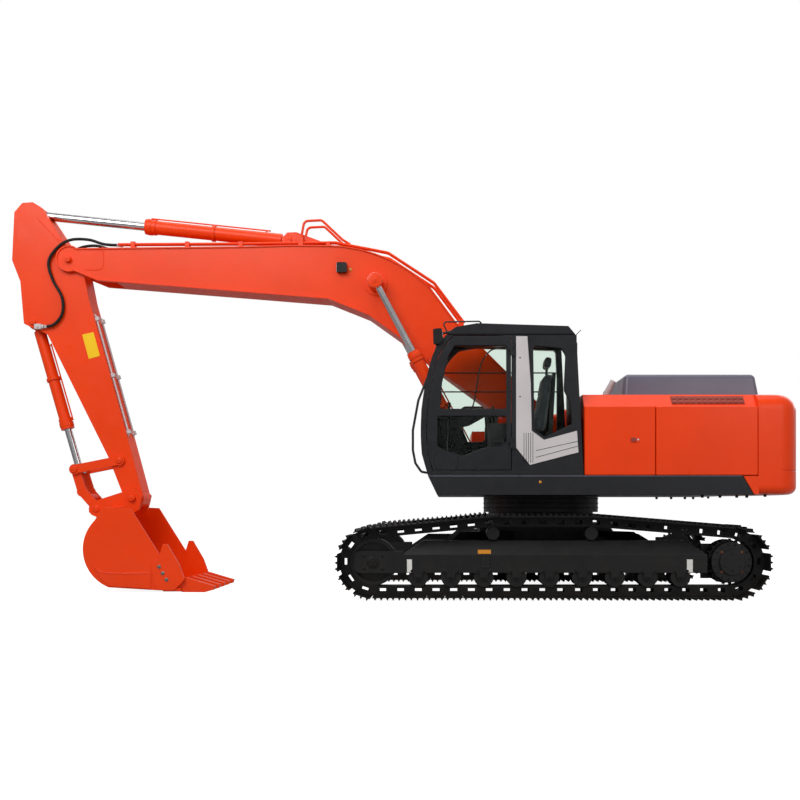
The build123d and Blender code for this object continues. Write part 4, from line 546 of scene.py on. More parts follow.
# Door and trim of the cab
DOOR_FACE_Y = -1370
DOOR_PLATE_Y = DOOR_FACE_Y - 4
PULL_Z = 1687
PULL_PLATE = (-655, -545, 1655, 1718)
PULL_LOCK_PLACE = (-530, DOOR_FACE_Y, PULL_Z)
CATCH_PLATE = (-880, -816, 1384, 1416)
CATCH_PLACE = (-848, DOOR_FACE_Y, 1400)
DOOR_RING_PLACE = (-1149, DOOR_FACE_Y - 1, 1487)
DOOR_RING_PROFILE = [(128, -2), (128, 2), (136, 2), (136, -2)]


def cab_door_handle():
    """Pull handle with its lock, a catch lower down, and the round ring low on the door."""
    grip_y = DOOR_PLATE_Y - 24
    grip = [(-640, DOOR_PLATE_Y, PULL_Z), (-632, grip_y, PULL_Z), (-568, grip_y, PULL_Z),
            (-560, DOOR_PLATE_Y, PULL_Z)]
    handle = Draft()
    handle.plate(rectangle(*PULL_PLATE), DOOR_PLATE_Y, 4)
    handle.tube(grip, radius=8, segments=10, steps=3)
    handle.lathe(PULL_LOCK_PLACE, LEFT, [(13, 0), (13, 6), (9, 8)])
    handle.plate(rectangle(*CATCH_PLATE), DOOR_PLATE_Y, 4)
    handle.lathe(CATCH_PLACE, LEFT, [(15, 0), (15, 9), (11, 12)])
    handle.lathe(DOOR_RING_PLACE, LEFT, DOOR_RING_PROFILE, segments=64, closed=True)
    handle.finish("cab_door_handle", "cab_door", "black_plastic", bevel=2)


TRIM_FACE_Y = -1380
GROOVE_COUNT = 5
GROOVE_PITCH = 24
GROOVE_WIDTH = 5
GROOVE_START_X = -312
GROOVE_HEIGHTS = (1470, 1790)
CREASE_HEIGHT = 6
CREASE_SPAN_X = (-180, 270)
CREASE_ENDS_Z = ((1596, 1696), (1523, 1643))
TRIM_SCREW_X = -352
TRIM_SCREW_HEIGHTS = (2180, 2600)


def trim_grooves():
    """Upright grooves, two long creases and two screws on the trim behind the door."""
    marks = Draft()
    mark_y = TRIM_FACE_Y - 1
    for index in range(GROOVE_COUNT):
        x = GROOVE_START_X + index * GROOVE_PITCH
        marks.plate(rectangle(x, x + GROOVE_WIDTH, *GROOVE_HEIGHTS), mark_y, 2)
    near, far = CREASE_SPAN_X
    for start, end in CREASE_ENDS_Z:
        crease = [(near, start), (far, end), (far, end + CREASE_HEIGHT), (near, start + CREASE_HEIGHT)]
        marks.plate(crease, mark_y, 2)
    for z in TRIM_SCREW_HEIGHTS:
        marks.lathe((TRIM_SCREW_X, TRIM_FACE_Y, z), LEFT, [(8, -1), (8, 2), (5, 3)], segments=12)
    marks.finish("trim_grooves", "house", "dark_paint")


DOOR_RAIL_Y = -1318
DOOR_RAIL = [(-885, 2036), (-850, 2110), (-815, 2300), (-775, 2520), (-690, 2665), (-590, 2712),
             (-476, 2716)]


def door_inner_rail():
    """Rail on the inside of the door."""
    rail = Draft()
    rail.tube([(x, DOOR_RAIL_Y, z) for x, z in DOOR_RAIL], radius=8, segments=10, steps=6)
    rail.finish("door_inner_rail", "cab_door", "black_plastic")


LINING_HOLE = [(-964, 1918), (-879, 1936), (-700, 2036), (-684, 1782), (-879, 1645), (-906, 1782)]
LINING_EDGE = [(-1384, 1918), (-1384, 2086), (-540, 2086), (-540, 1480), (-900, 1440),
               (-1370, 1560)]
LINING_WALL_Y = -492
LINING_FACE_Y = -500


def right_wall_lining():
    """Dark lining round the low window of the cab's right wall."""
    loops = (
        (LINING_EDGE, LINING_WALL_Y), (LINING_EDGE, LINING_FACE_Y),
        (LINING_HOLE, LINING_FACE_Y), (LINING_HOLE, LINING_WALL_Y),
    )
    lining = Draft()
    lining.skin([[place(x, y, z) for x, z in outline] for outline, y in loops], closed=True)
    lining.finish("right_wall_lining", "house", "black_plastic")


MIRROR_CORNERS = [(-1191, -1400, 2905), (-1191, -1318, 2905), (-1179, -1318, 2800),
                  (-1179, -1400, 2800)]


def mirror_glass():
    """Mirror glass on the rear of its housing, towards the driver."""
    pane = Draft()
    pane.prism(MIRROR_CORNERS, (-3, 0, 0))
    pane.finish("mirror_glass", "house", material=MIRROR, bevel=1)


AERIAL_FOOT = (296, -900, 2900)
AERIAL_AXIS = (0.6, 0, 0.8)
AERIAL_LINE = [(296, -900, 2902), (332, -900, 2945), (370, -900, 2982)]


def aerial():
    """Short aerial that leans to the rear on its bracket."""
    mast = Draft()
    mast.lathe(AERIAL_FOOT, AERIAL_AXIS, [(14, 0), (14, 18), (6, 26)])
    mast.tube(AERIAL_LINE, radius=4, segments=8, steps=4)
    mast.finish("aerial", "house", "black_plastic")


MONITOR_SIDE = [(-1140, 2050), (-1108, 2044), (-1090, 2186), (-1122, 2194)]
MONITOR_START_Y = -660
MONITOR_WIDTH = 150
MONITOR_STALK = [(-1112, -560, 2120), (-1100, -520, 2120), (-1100, -488, 2120)]


def monitor():
    """Monitor on a stalk from the right wall."""
    screen = Draft()
    screen.plate(rounded(MONITOR_SIDE, 8), MONITOR_START_Y, MONITOR_WIDTH)
    screen.tube(MONITOR_STALK, radius=12, segments=10, steps=3)
    screen.finish("monitor", "house", "black_plastic", bevel=3)


# Seat: a base with bellows, runners and shell, and three padded cushions
SEAT_Y = -900
BELLOWS_X = -330
BELLOWS_FOOT_Z = 1386
FOLD_COUNT = 9
FOLD_RISE = 22
FOLD_SIZES = (196, 176)
FOLD_START = 40
RUNNER_HALF_GAUGE = 110
RUNNER_HALF_WIDTH = 14
POST_HALF_GAUGE = 70
SHELL_SIDE = [(-150, 1700), (-62, 1700), (28, 1800), (66, 2470), (30, 2480), (-20, 1830)]
SHELL_HALF_WIDTH = 200
TILT_KNOB = (-110, SEAT_Y + 222, 1745)
TILT_KNOB_PROFILE = [(44, -460), (44, -444), (30, -444), (30, 16), (44, 16), (44, 26), (34, 32)]


def bellows_rings():
    """Rounded outlines of the bellows under the seat, from the floor up."""
    sizes = [(218, 0), (218, 30)]
    sizes += [(FOLD_SIZES[fold % 2], FOLD_START + FOLD_RISE * fold) for fold in range(FOLD_COUNT)]
    sizes += [(206, 226), (206, 262), (198, 268)]
    rings = []
    for size, rise in sizes:
        width = size * 0.72
        length = width * 1.15
        outline = rounded(rectangle(-length, length, -width, width), 40, steps=5)
        z = BELLOWS_FOOT_Z + rise
        rings.append([place(BELLOWS_X + x, SEAT_Y + y, z) for x, y in outline])
    return rings


def seat_base():
    """Bellows, runners, posts of the headrest, shell of the back and knobs of its tilt."""
    base = Draft()
    base.skin(bellows_rings())
    for side in SIDES:
        runner_y = SEAT_Y + side * RUNNER_HALF_GAUGE
        post_y = SEAT_Y + side * POST_HALF_GAUGE
        base.block((-600, runner_y - RUNNER_HALF_WIDTH, 1632), (-80, runner_y + RUNNER_HALF_WIDTH, 1662))
        base.tube([(-20, post_y, 2440), (-14, post_y, 2600)], radius=8, segments=10)
    base.plate(rounded(SHELL_SIDE, 14), SEAT_Y - SHELL_HALF_WIDTH, 2 * SHELL_HALF_WIDTH)
    base.lathe(TILT_KNOB, RIGHT, TILT_KNOB_PROFILE)
    seat_frame = base.finish("seat_base", "house", "black_plastic", bevel=4)
    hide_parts("seat")


CUSHION_ROUNDING = 26
CUSHION_BEVEL = 0.022
CUSHION_VOXEL = 0.015
CUSHION_PRESSURE = 4.0
CUSHION_FRAMES = 20
CUSHION_LIMIT = 0.024
CHANNEL_DEPTH = 0.012
CHANNEL_WIDTH = 0.014
CUSHIONS = (
    # name, outline of x and z, half width, x and z of the channels across
    ("seat_cushion", [(-610, 1672), (-610, 1745), (-560, 1800), (-120, 1790), (-64, 1800), (-64, 1672)],
     230, ((-250, 1812), (-430, 1818))),
    ("seat_back", [(-165, 1800), (-72, 1812), (24, 2478), (-44, 2486), (-120, 2080), (-182, 1850)],
     212, ((-156, 2000), (-104, 2240))),
    ("headrest", [(-58, 2548), (16, 2540), (34, 2655), (-38, 2668)], 124, ()),
)


def work_in(piece, kind, **values):
    """Work a modifier into the piece's own mesh."""
    modifier = piece.modifiers.new(kind.lower(), kind)
    for name, value in values.items():
        setattr(modifier, name, value)
    depsgraph = bpy.context.evaluated_depsgraph_get()
    mesh = bpy.data.meshes.new_from_object(piece.evaluated_get(depsgraph))
    piece.modifiers.remove(modifier)
    piece.data = mesh


def inflate(piece):
    """Blow a cushion up a little as cloth, held near the form it was cut to."""
    cloth = piece.modifiers.new("fill", "CLOTH")
    cloth.settings.use_pressure = True
    cloth.settings.uniform_pressure_force = CUSHION_PRESSURE
    cloth.settings.effector_weights.gravity = 0
    for frame_number in range(1, CUSHION_FRAMES + 1):
        bpy.context.scene.frame_set(frame_number)
    blown = piece.evaluated_get(bpy.context.evaluated_depsgraph_get()).to_mesh()
    targets = [vertex.co.copy() for vertex in blown.vertices]
    piece.modifiers.remove(cloth)
    for vertex, target in zip(piece.data.vertices, targets):
        shift = target - vertex.co
        if shift.length > CUSHION_LIMIT:
            shift *= CUSHION_LIMIT / shift.length
        vertex.co += shift
    bpy.context.scene.frame_set(1)


def press_channel(piece, x, z):
    """Press a channel into a cushion along the line of y through x and z."""
    line = place(x, SEAT_Y, z)
    # The normals are copied first, because each moved vertex would have them all worked out again
    normals = [vertex.normal.copy() for vertex in piece.data.vertices]
    for vertex, normal in zip(piece.data.vertices, normals):
        gap = math.hypot(vertex.co.x - line.x, vertex.co.z - line.z)
        vertex.co -= normal * CHANNEL_DEPTH * math.exp(-((gap / CHANNEL_WIDTH) ** 2))


def seat_cushions():
    """Padded cushion, back and headrest."""
    for name, outline, half_width, channels in CUSHIONS:
        cushion = Draft()
        cushion.plate(rounded(outline, CUSHION_ROUNDING), SEAT_Y - half_width, 2 * half_width)
        piece = cushion.finish(name, None, "seat_fabric")
        work_in(piece, "BEVEL", width=CUSHION_BEVEL, segments=3, limit_method="ANGLE")
        work_in(piece, "REMESH", mode="VOXEL", voxel_size=CUSHION_VOXEL)
        inflate(piece)
        work_in(piece, "SUBSURF", levels=1)
        for x, z in channels:
            press_channel(piece, x, z)
        piece.data.shade_smooth()
        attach(piece, "house")
        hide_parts("seat")


# Hoses over the joint of boom and arm: route of the left one, mirrored for the right one
HOSE_ROUTE = [(-5081, -120, 4140), (-5260, -125, 4150), (-5440, -140, 4200), (-5640, -175, 4190),
              (-5790, -182, 4105), (-5905, -182, 3930), (-5860, -182, 3720), (-5745, -182, 3500),
              (-5745, -182, 3300), (-5850, -182, 3170), (-5990, -182, 3150)]
HOSE_RADIUS = 17
HOSE_BLOCK_Y = 178
HOSE_PLUG_Y = 205


def boom_to_arm_hoses():
    """Two hoses that bend over the joint of boom and arm."""
    hoses = Draft()
    for side in SIDES:
        hoses.tube([(x, -side * y, z) for x, y, z in HOSE_ROUTE], HOSE_RADIUS, segments=14, steps=8)
    hose_piece = hoses.finish("boom_to_arm_hoses", None, "hose_rubber")
    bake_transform(hose_piece)
    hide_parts("arm_hoses")


def arm_hose_block():
    """Blocks with nuts and plugs where the hoses end on the arm."""
    end_x, end_y, end_z = HOSE_ROUTE[-1]
    fittings = Draft()
    for side in SIDES:
        block_y = side * HOSE_BLOCK_Y
        hose_y = -side * end_y
        fittings.block((end_x - 80, block_y - 27, end_z - 30), (end_x, block_y + 27, end_z + 30))
        for start, radius in ((0, 24), (34, 20)):
            nut = [(radius, 0), (radius, 30)]
            fittings.lathe((end_x + start, hose_y, end_z), REAR, nut, segments=6)
        plug_spot = (end_x - 40, side * HOSE_PLUG_Y, end_z)
        fittings.lathe(plug_spot, (0, side, 0), [(16, -2), (16, 8), (11, 11)], segments=6)
    block_piece = fittings.finish("arm_hose_block", "arm", "silver_paint", bevel=2)
    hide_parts("arm_hoses")


def boom_hose_fittings():
    """Nuts where the hoses start on the boom's pipes."""
    start_x, start_y, start_z = HOSE_ROUTE[0]
    fittings = Draft()
    for side in SIDES:
        for behind, radius, length in ((41, 25, 26), (15, 21, 34)):
            nut = [(radius, 0), (radius, length)]
            fittings.lathe((start_x + behind, -side * start_y, start_z), FRONT, nut, segments=6)
    fittings.finish("boom_hose_fittings", "boom", "silver_paint", bevel=1)


# Pins of the working equipment, in the pose of the photograph: x and z
BOOM_FOOT = (-50, 1910)
BOOM_TIP = (-5666, 3953)
LIFT_FOOT = (-800, 1450)
LIFT_EYE = (-1986, 3657)
ARM_CYLINDER_FOOT = (-3044, 4215)
ARM_CYLINDER_EYE = (-6158, 4536)
BUCKET_CYLINDER_FOOT = (-6110, 3215)
BUCKET_CYLINDER_EYE = (-5599, 1442)
ROCKER_FOOT = (-5063, 1549)
ARM_TIP = (-4901, 1097)
BUCKET_LINK_EYE = (-5332, 967)

# For each body, its pins and how far out they end
PINS = {
    "boom": ((BOOM_TIP, 230), (ARM_CYLINDER_FOOT, 105), (BOOM_FOOT, 260)),
    "lift_rods": ((LIFT_EYE, 407),),
    "arm": ((ARM_TIP, 230), (ROCKER_FOOT, 193), (BUCKET_CYLINDER_FOOT, 162)),
    "bucket": ((BUCKET_LINK_EYE, 200),),
    "rocker": ((BUCKET_CYLINDER_EYE, 193),),
}
PIN_PROFILE = [(38, -4), (38, 3), (33, 7), (14, 7), (14, 5)]


def pin_caps():
    """End plates of the pins, each with one bolt."""
    for body, pins in PINS.items():
        caps = Draft()
        for (x, z), end in pins:
            for side in SIDES:
                caps.lathe((x, side * end, z), (0, side, 0), PIN_PROFILE)
                caps.bolt((x, side * (end + 5), z), (0, side, 0), radius=11, height=8)
        caps.finish(body + "_pin_caps", body, "orange_paint", bevel=1)


LIFT_EYE_START_Y = 263
LIFT_EYE_PROFILE = [(84, 0), (90, 4), (90, 140), (84, 144), (62, 146)]


def lift_rod_eyes():
    """Eyes of the lift rods, painted like the boom."""
    x, z = LIFT_EYE
    eyes = Draft()
    for side in SIDES:
        eyes.lathe((x, side * LIFT_EYE_START_Y, z), (0, side, 0), LIFT_EYE_PROFILE, segments=36)
    eyes.finish("lift_rod_eyes", "lift_rods", "orange_paint")


# Plate on the arm, and beads of weld
ARM_PLATE = [(-5516, 3058), (-5378, 3090), (-5300, 2802), (-5435, 2766)]
ARM_PLATE_Y = -152.5
ARM_PLATE_DEPTH = 2.5
WELDS = (
    # name, body, y, line of x and z, radius, steps, ripple
    ("arm_welds", "arm", 150, [(-6050, 4450), (-5910, 4300), (-5760, 4150)], 5, 30, 0.2),
    ("boom_welds", "boom", 190, [(-5474, 3830), (-5260, 3850), (-5255, 4100)], 5, 30, 0.2),
    ("bucket_wear_line", "bucket", 597, [(-5201, 292), (-5086, 228), (-4589, 224)], 7, 12, 0.15),
)


def arm_plate():
    """Blank yellow plate on the arm's left side."""
    sign = Draft()
    sign.plate(ARM_PLATE, ARM_PLATE_Y, ARM_PLATE_DEPTH)
    sign.finish("arm_plate", "arm", material=YELLOW)


def welds():
    """Beads of weld on both sides of arm and boom, and along the bucket's wear plates."""
    for name, body, y, line, radius, steps, ripple in WELDS:
        beads = Draft()
        for side in SIDES:
            bead = [(x, side * y, z) for x, z in line]
            beads.tube(bead, radius, segments=8, steps=steps, ripple=ripple)
        beads.finish(name, body, "orange_paint")


# Bolts of the bucket's side cutters
CUTTER_BOLTS = ((-4462, 300), (-4420, 225), (-4376, 150))
CUTTER_SEARCH_Y = 900
CUTTER_MIN_Y = 585


def side_cutter_bolts():
    """Bolts on the bucket's sides, near its cutting edge."""
    bolts = Draft()
    for side in SIDES:
        for x, z in CUTTER_BOLTS:
            spot = surface("bucket", (x, side * CUTTER_SEARCH_Y, z), (0, -side, 0))
            if spot and abs(spot[1]) > CUTTER_MIN_Y:
                bolts.bolt(spot, (0, side, 0), radius=17, height=14)
    bolts.finish("side_cutter_bolts", "bucket", material=WORN, bevel=1)


CYLINDERS = (
    # body, pin of the foot, pin of the rod's eye, y of the axes, barrel's radius, gland's distance
    ("lift_barrels", LIFT_FOOT, LIFT_EYE, (-335, 335), 80, 1548),
    ("arm_cylinder_barrel", ARM_CYLINDER_FOOT, ARM_CYLINDER_EYE, (0,), 92, 1745),
    ("bucket_cylinder_barrel", BUCKET_CYLINDER_FOOT, BUCKET_CYLINDER_EYE, (0,), 78, 1318),
)
BAND_SHARE = 0.52


def cylinder_fittings():
    """Hollow gland ring, band and feed pipe on each barrel."""
    for body, foot, eye, axes, radius, gland in CYLINDERS:
        way = (Vector(eye) - Vector(foot)).normalized()
        upward = Vector((-way.y, way.x))
        upward = upward if upward.y > 0 else -upward
        inner = radius - 6
        gland_ring = [(inner, 0), (radius + 5, 0), (radius + 5, 52), (radius - 3, 64), (inner, 64)]
        band = [(inner, 0), (radius + 4, 0), (radius + 4, 36), (inner, 36)]
        # Distances from the foot and lifts over the axis
        feed_pipe = [(296, radius - 8), (304, radius + 8), (350, radius + 12),
                     (gland - 150, radius + 12), (gland - 104, radius + 8), (gland - 96, radius - 8)]
        fitted = Draft()
        for y in axes:
            for distance, profile in ((gland - 70, gland_ring), (gland * BAND_SHARE, band)):
                spot = Vector(foot) + way * distance
                fitted.lathe((spot.x, y, spot.y), (way.x, 0, way.y), profile, segments=36, closed=True)
            line = [Vector(foot) + way * distance + upward * lift for distance, lift in feed_pipe]
            fitted.tube([(spot.x, y, spot.y) for spot in line], radius=9, segments=10, steps=3)
        fitted.finish(body + "_fittings", body, "orange_paint", bevel=1)


# Boom lamp and reflector
LAMP_FACE_X = -2453
LAMP_FACE = rectangle(-251, -211, 3792, 3898)
BOOM_REFLECTOR_PLACE = (-2290, -190, 3830)


def boom_lamp_lens():
    """Lens of the lamp on the boom's left side."""
    lens = Draft()
    lens.prism([(LAMP_FACE_X, y, z) for y, z in rounded(LAMP_FACE, 10)], (4, 0, 0))
    lens.finish("boom_lamp_lens", "boom", material=LENS)


def boom_reflector():
    """Round reflector behind the boom lamp."""
    reflector = Draft()
    reflector.lathe(BOOM_REFLECTOR_PLACE, LEFT, [(20, -1), (20, 4), (17, 6)])
    reflector.finish("boom_reflector", "boom", material=AMBER)


# Latches of the side doors
LATCHES = (
    # body, x, side
    ("left_front_door", 885, -1), ("pump_door", 1990, 1),
)
DOOR_SIDE_Y = 1370


def latches():
    """Plate, a dark red paddle as painted shade of the latch's recess, and a lock on a door of each side.
    """
    for body, x, side in LATCHES:
        face_y = side * DOOR_SIDE_Y
        latch = Draft()
        latch.plate(rounded(rectangle(x - 48, x + 48, 1686, 1748), 12), face_y, side * 4)
        latch.finish(body + "_latch_plate", body, "orange_paint", bevel=2)
        # Dark red paddle: painted shade of the latch's recess
        recess_shade = Draft()
        outline = rounded(rectangle(x - 40, x + 14, 1695, 1739), 8)
        recess_shade.plate(outline, face_y + side * 4, side * 7)
        recess_shade.finish(body + "_latch", body, material=PAINTED_SHADE_RED, bevel=2)
        lock = Draft()
        lock.lathe((x + 36, face_y + side * 3, 1717), (0, side, 0), [(11, 0), (11, 6), (8, 8)])
        lock.finish(body + "_lock", body, "silver_paint")


# Reflector, and grey strips along the skirts' top edges as painted highlight
SKIRT_REFLECTOR_PLACE = (-134, -1370, 1260)
SKIRT_EDGE_Y = 1369
SKIRT_EDGE_Z = 1325
SKIRT_SPAN_X = (-1330, 2045)


def skirt_reflector():
    """Round reflector on the left skirt."""
    reflector = Draft()
    reflector.lathe(SKIRT_REFLECTOR_PLACE, LEFT, [(15, -1), (15, 5), (11, 8)])
    reflector.finish("skirt_reflector", "house", material=AMBER)


def skirt_highlight_strips():
    """Grey strips along both skirts' top edges: a painted highlight where the top flanges catch the
    light.
    """
    edges = Draft()
    for side in SIDES:
        edges.tube([(x, side * SKIRT_EDGE_Y, SKIRT_EDGE_Z) for x in SKIRT_SPAN_X], radius=5, segments=8)
    edges.finish("skirt_highlight_strips", "house", "hood_grey")


# Tail: places are sought on the solids, along a line from outside
TAIL_BOLTS_X = (1662, 1856, 2040, 2150, 2350)
TAIL_BOLT_Y = 1180
TAIL_BOLT_PROFILE = [(26, 0), (26, 8), (17, 8), (17, 30), (13, 33)]
TAIL_LENS_Y = 520
TAIL_LENS_Z = 1290
LIFTING_PLUG_Y = 620
LIFTING_PLUGS_X = (2420, 2760)
BELOW_Z = 900
ABOVE_Z = 2600
BEHIND_X = 3300


def tail_bolts():
    """Bolts up into the swing frame or the counterweight."""
    bolts = Draft()
    for x in TAIL_BOLTS_X:
        for side in SIDES:
            start = (x, side * TAIL_BOLT_Y, BELOW_Z)
            spot = surface("swing_frame", start, UP) or surface("counterweight", start, UP)
            if spot:
                head = (spot[0], spot[1], spot[2] + 4)
                bolts.lathe(head, DOWN, TAIL_BOLT_PROFILE, segments=6)
    bolts.finish("tail_bolts", "house", "frame_paint", bevel=1)


def tail_reflectors():
    """Red reflectors on the rear of the counterweight."""
    lenses = Draft()
    for side in SIDES:
        spot = surface("counterweight", (BEHIND_X, side * TAIL_LENS_Y, TAIL_LENS_Z), FRONT)
        if spot:
            x, y, z = spot
            lenses.block((x - 14, y - 62, z - 26), (x + 2, y + 62, z + 26))
    lenses.finish("tail_reflectors", "house", material=RED_LENS, bevel=3)


def lifting_plugs():
    """Plugs in the lifting threads on top of the counterweight."""
    plugs = Draft()
    for side in SIDES:
        for x in LIFTING_PLUGS_X:
            spot = surface("counterweight", (x, side * LIFTING_PLUG_Y, ABOVE_Z), DOWN)
            if spot:
                plugs.lathe(spot, UP, [(44, -3), (44, 2), (38, 5)])
                plugs.lathe(spot, UP, [(20, 0), (20, 9), (16, 11)], segments=6)
    plugs.finish("lifting_plugs", "house", "frame_paint")


TANK_CAPS = (
    # node, x, y, radius
    ("fuel_tank", -140, 1000, 62), ("hydraulic_tank", 560, 900, 78),
)
TANK_SEARCH_Z = 2700


def tank_caps():
    """Screw caps with a grip and a ring of bolts on the two tanks."""
    caps = Draft()
    for node_name, x, y, radius in TANK_CAPS:
        spot = surface(node_name, (x, y, TANK_SEARCH_Z), DOWN)
        if spot:
            top_z = spot[2]
            rim = radius + 14
            profile = [(rim, -2), (rim, 8), (radius, 8), (radius, 40), (radius - 8, 48)]
            caps.lathe(spot, UP, profile, segments=32)
            grip = radius * 0.8
            caps.block((x - grip, y - 9, top_z + 46), (x + grip, y + 9, top_z + 62))
            caps.bolt_ring((x, y, top_z + 6), UP, radius + 7, count=6, radius=5, height=6)
    caps.finish("tank_caps", "house", "black_plastic", bevel=2)


# Steps of the tool box: a grid of studs, each kept where it meets a tread
STUD_PITCH = 62
STUD_ROWS = 14
STUD_COLUMNS = 13
STUD_START = (-1300, 560)
STUD_SEARCH_Z = 2400
TREAD_HEIGHTS = (1415, 1655, 1945)
TREAD_TOLERANCE = 3


def step_studs():
    """Raised studs on the treads of the tool box."""
    studs = Draft()
    for row in range(STUD_ROWS):
        for column in range(STUD_COLUMNS):
            x = STUD_START[0] + row * STUD_PITCH
            y = STUD_START[1] + column * STUD_PITCH
            spot = surface("tool_box", (x, y, STUD_SEARCH_Z), DOWN)
            if spot and min(abs(spot[2] - height) for height in TREAD_HEIGHTS) < TREAD_TOLERANCE:
                studs.lathe(spot, UP, [(15, -1), (11, 5), (7, 5)], segments=10)
    studs.finish("step_studs", "house", "dark_paint")


# Undercarriage: the track frame's wall is upright up to RIDGE_FOOT_Z and leans inward above it
WALL_Y = 1440
RIDGE_FOOT_Z = 480
RIDGE_SLOPE = 83 / 150
WHEEL_Z = 400
SPROCKET_X = 1910
IDLER_X = -1930
ROLLER_COUNT = 9
ROLLER_PITCH = 352
ROLLER_MIDDLE_X = -40
ROLLER_Z = 237
BEARING_RINGS_Z = (975, 1030, 1085)
BEARING_PROFILE = [(684, 0), (697, 2), (697, 10), (684, 12)]
STRIPS = ((-1567, -1513, 290, 430), (1430, 1494, 290, 430))
MARKER_X = (-807, -668)
MARKER_HEIGHTS = (488, 531)
COVER = (-764, -680, 338, 446)
COVER_DEPTH = 5
COVER_BOLT_INSET = 12


def bearing_rings():
    """Rings round the swing bearing."""
    rings = Draft()
    for z in BEARING_RINGS_Z:
        rings.lathe((0, 0, z), UP, BEARING_PROFILE, segments=96, closed=True)
    rings.finish("bearing_rings", "undercarriage", "track_steel")


def frame_strips():
    """Blank white plates on the walls of the track frames."""
    strips = Draft()
    for side in SIDES:
        for strip in STRIPS:
            strips.plate(rectangle(*strip), side * WALL_Y, side * 2)
    strips.finish("frame_strips", "undercarriage", material=WHITE)


def frame_markers():
    """Amber bars on the leaning part of the walls."""
    bars = Draft()
    near, far = MARKER_X
    low, high = MARKER_HEIGHTS
    for side in SIDES:
        low_y = side * (WALL_Y - (low - RIDGE_FOOT_Z) * RIDGE_SLOPE)
        high_y = side * (WALL_Y - (high - RIDGE_FOOT_Z) * RIDGE_SLOPE)
        corners = [(near, low_y, low), (far, low_y, low), (far, high_y, high), (near, high_y, high)]
        bars.prism(corners, (0, side * 4, 2))
    bars.finish("frame_markers", "undercarriage", material=AMBER)


def tension_covers():
    """Bolted covers of the track tension."""
    covers = Draft()
    x0, x1, z0, z1 = COVER
    for side in SIDES:
        covers.plate(rectangle(*COVER), side * WALL_Y, side * COVER_DEPTH)
        for x in (x0 + COVER_BOLT_INSET, x1 - COVER_BOLT_INSET):
            for z in (z0 + COVER_BOLT_INSET, z1 - COVER_BOLT_INSET):
                bolt_place = (x, side * (WALL_Y + COVER_DEPTH), z)
                covers.bolt(bolt_place, (0, side, 0), radius=6, height=5)
    covers.finish("tension_covers", "undercarriage", "frame_paint", bevel=1)


def drive_bolts():
    """Four rusty bolts on each sprocket's hub."""
    bolts = Draft()
    for side in SIDES:
        hub = (SPROCKET_X, side * 1445, WHEEL_Z)
        bolts.bolt_ring(hub, (0, side, 0), 150, count=4, radius=12, height=10)
    bolts.finish("drive_bolts", "undercarriage", material=RUSTY, bevel=1)


def idler_and_roller_caps():
    """Rings of bolts on the sprockets' hubs, and caps and bolts of idlers and bottom rollers."""
    caps = Draft()
    for side in SIDES:
        out = (0, side, 0)
        wall_y = side * WALL_Y
        hub = (SPROCKET_X, side * 1445, WHEEL_Z)
        hub_lid = (SPROCKET_X, side * 1475, WHEEL_Z)
        idler = (IDLER_X, wall_y, WHEEL_Z)
        idler_lid = (IDLER_X, side * (WALL_Y + 5), WHEEL_Z)
        caps.bolt_ring(hub, out, 190, count=16, radius=11, height=10)
        caps.bolt_ring(hub_lid, out, 92, count=6, radius=9, height=7)
        caps.lathe(idler, out, [(66, -3), (66, 6), (52, 12), (20, 12)])
        caps.bolt_ring(idler_lid, out, 42, count=4, radius=8, height=8)
        for x in (IDLER_X - 100, IDLER_X + 100):
            for z in (WHEEL_Z - 70, WHEEL_Z + 70):
                caps.bolt((x, wall_y, z), out, radius=14, height=10)
        for index in range(ROLLER_COUNT):
            x = ROLLER_MIDDLE_X + ROLLER_PITCH * (index - ROLLER_COUNT // 2)
            caps.lathe((x, wall_y, ROLLER_Z), out, [(26, -2), (26, 5), (18, 8)], segments=20)
            for bolt_x in (x - 70, x + 70):
                caps.bolt((bolt_x, wall_y, ROLLER_Z + 69), out, radius=11, height=9)
    caps.finish("idler_and_roller_caps", "undercarriage", "track_steel", bevel=1)


for draw in (
    side_window_seals, windscreen_seals, wiper, cab_door_handle, trim_grooves, door_inner_rail,
    right_wall_lining, mirror_glass, aerial, monitor, seat_base, seat_cushions,
    boom_to_arm_hoses, arm_hose_block, boom_hose_fittings, pin_caps, lift_rod_eyes, arm_plate,
    welds, side_cutter_bolts, cylinder_fittings, boom_lamp_lens, boom_reflector,
    latches, skirt_reflector, skirt_highlight_strips, tail_bolts, tail_reflectors, lifting_plugs, tank_caps,
    step_studs, bearing_rings, frame_strips, frame_markers, tension_covers, drive_bolts,
    idler_and_roller_caps,
):
    draw()


# Camera: it looks level and square at the machine's left side, as the photograph does
CAMERA_LENS = 44.8
CAMERA_SPOT = (SWING_X - 1.16, -12.1, 1.002)
CLIP_END = 200
PHOTO_SIZE = 800
PRINCIPAL_PX = (445, 506)
camera_data = bpy.data.cameras.new("camera")
camera_data.lens = CAMERA_LENS
camera_data.shift_x = (PHOTO_SIZE / 2 - PRINCIPAL_PX[0]) / PHOTO_SIZE
camera_data.shift_y = (PRINCIPAL_PX[1] - PHOTO_SIZE / 2) / PHOTO_SIZE
camera_data.clip_end = CLIP_END
camera = bpy.data.objects.new("camera", camera_data)
camera.location = CAMERA_SPOT
camera.rotation_euler = (math.radians(90), 0, 0)
bpy.context.collection.objects.link(camera)
bpy.context.scene.camera = camera

# Floor and studio: white to the eye, and dimmer as light on the machine
FLOOR_SHADE = 0.4
FLOOR_GLOW = 0.92
FLOOR_HALF = 60.0
FLOOR_Z = -0.002
WORLD_LIGHT = 0.42


def seen_share(tree):
    """One for rays that look at the studio, and nought for light that falls on the machine."""
    path = add_node(tree, "ShaderNodeLightPath")
    either = add_node(tree, "ShaderNodeMath", operation="MAXIMUM")
    link(tree, path.outputs["Is Camera Ray"], either.inputs[0])
    link(tree, path.outputs["Is Transmission Ray"], either.inputs[1])
    return either.outputs[0]


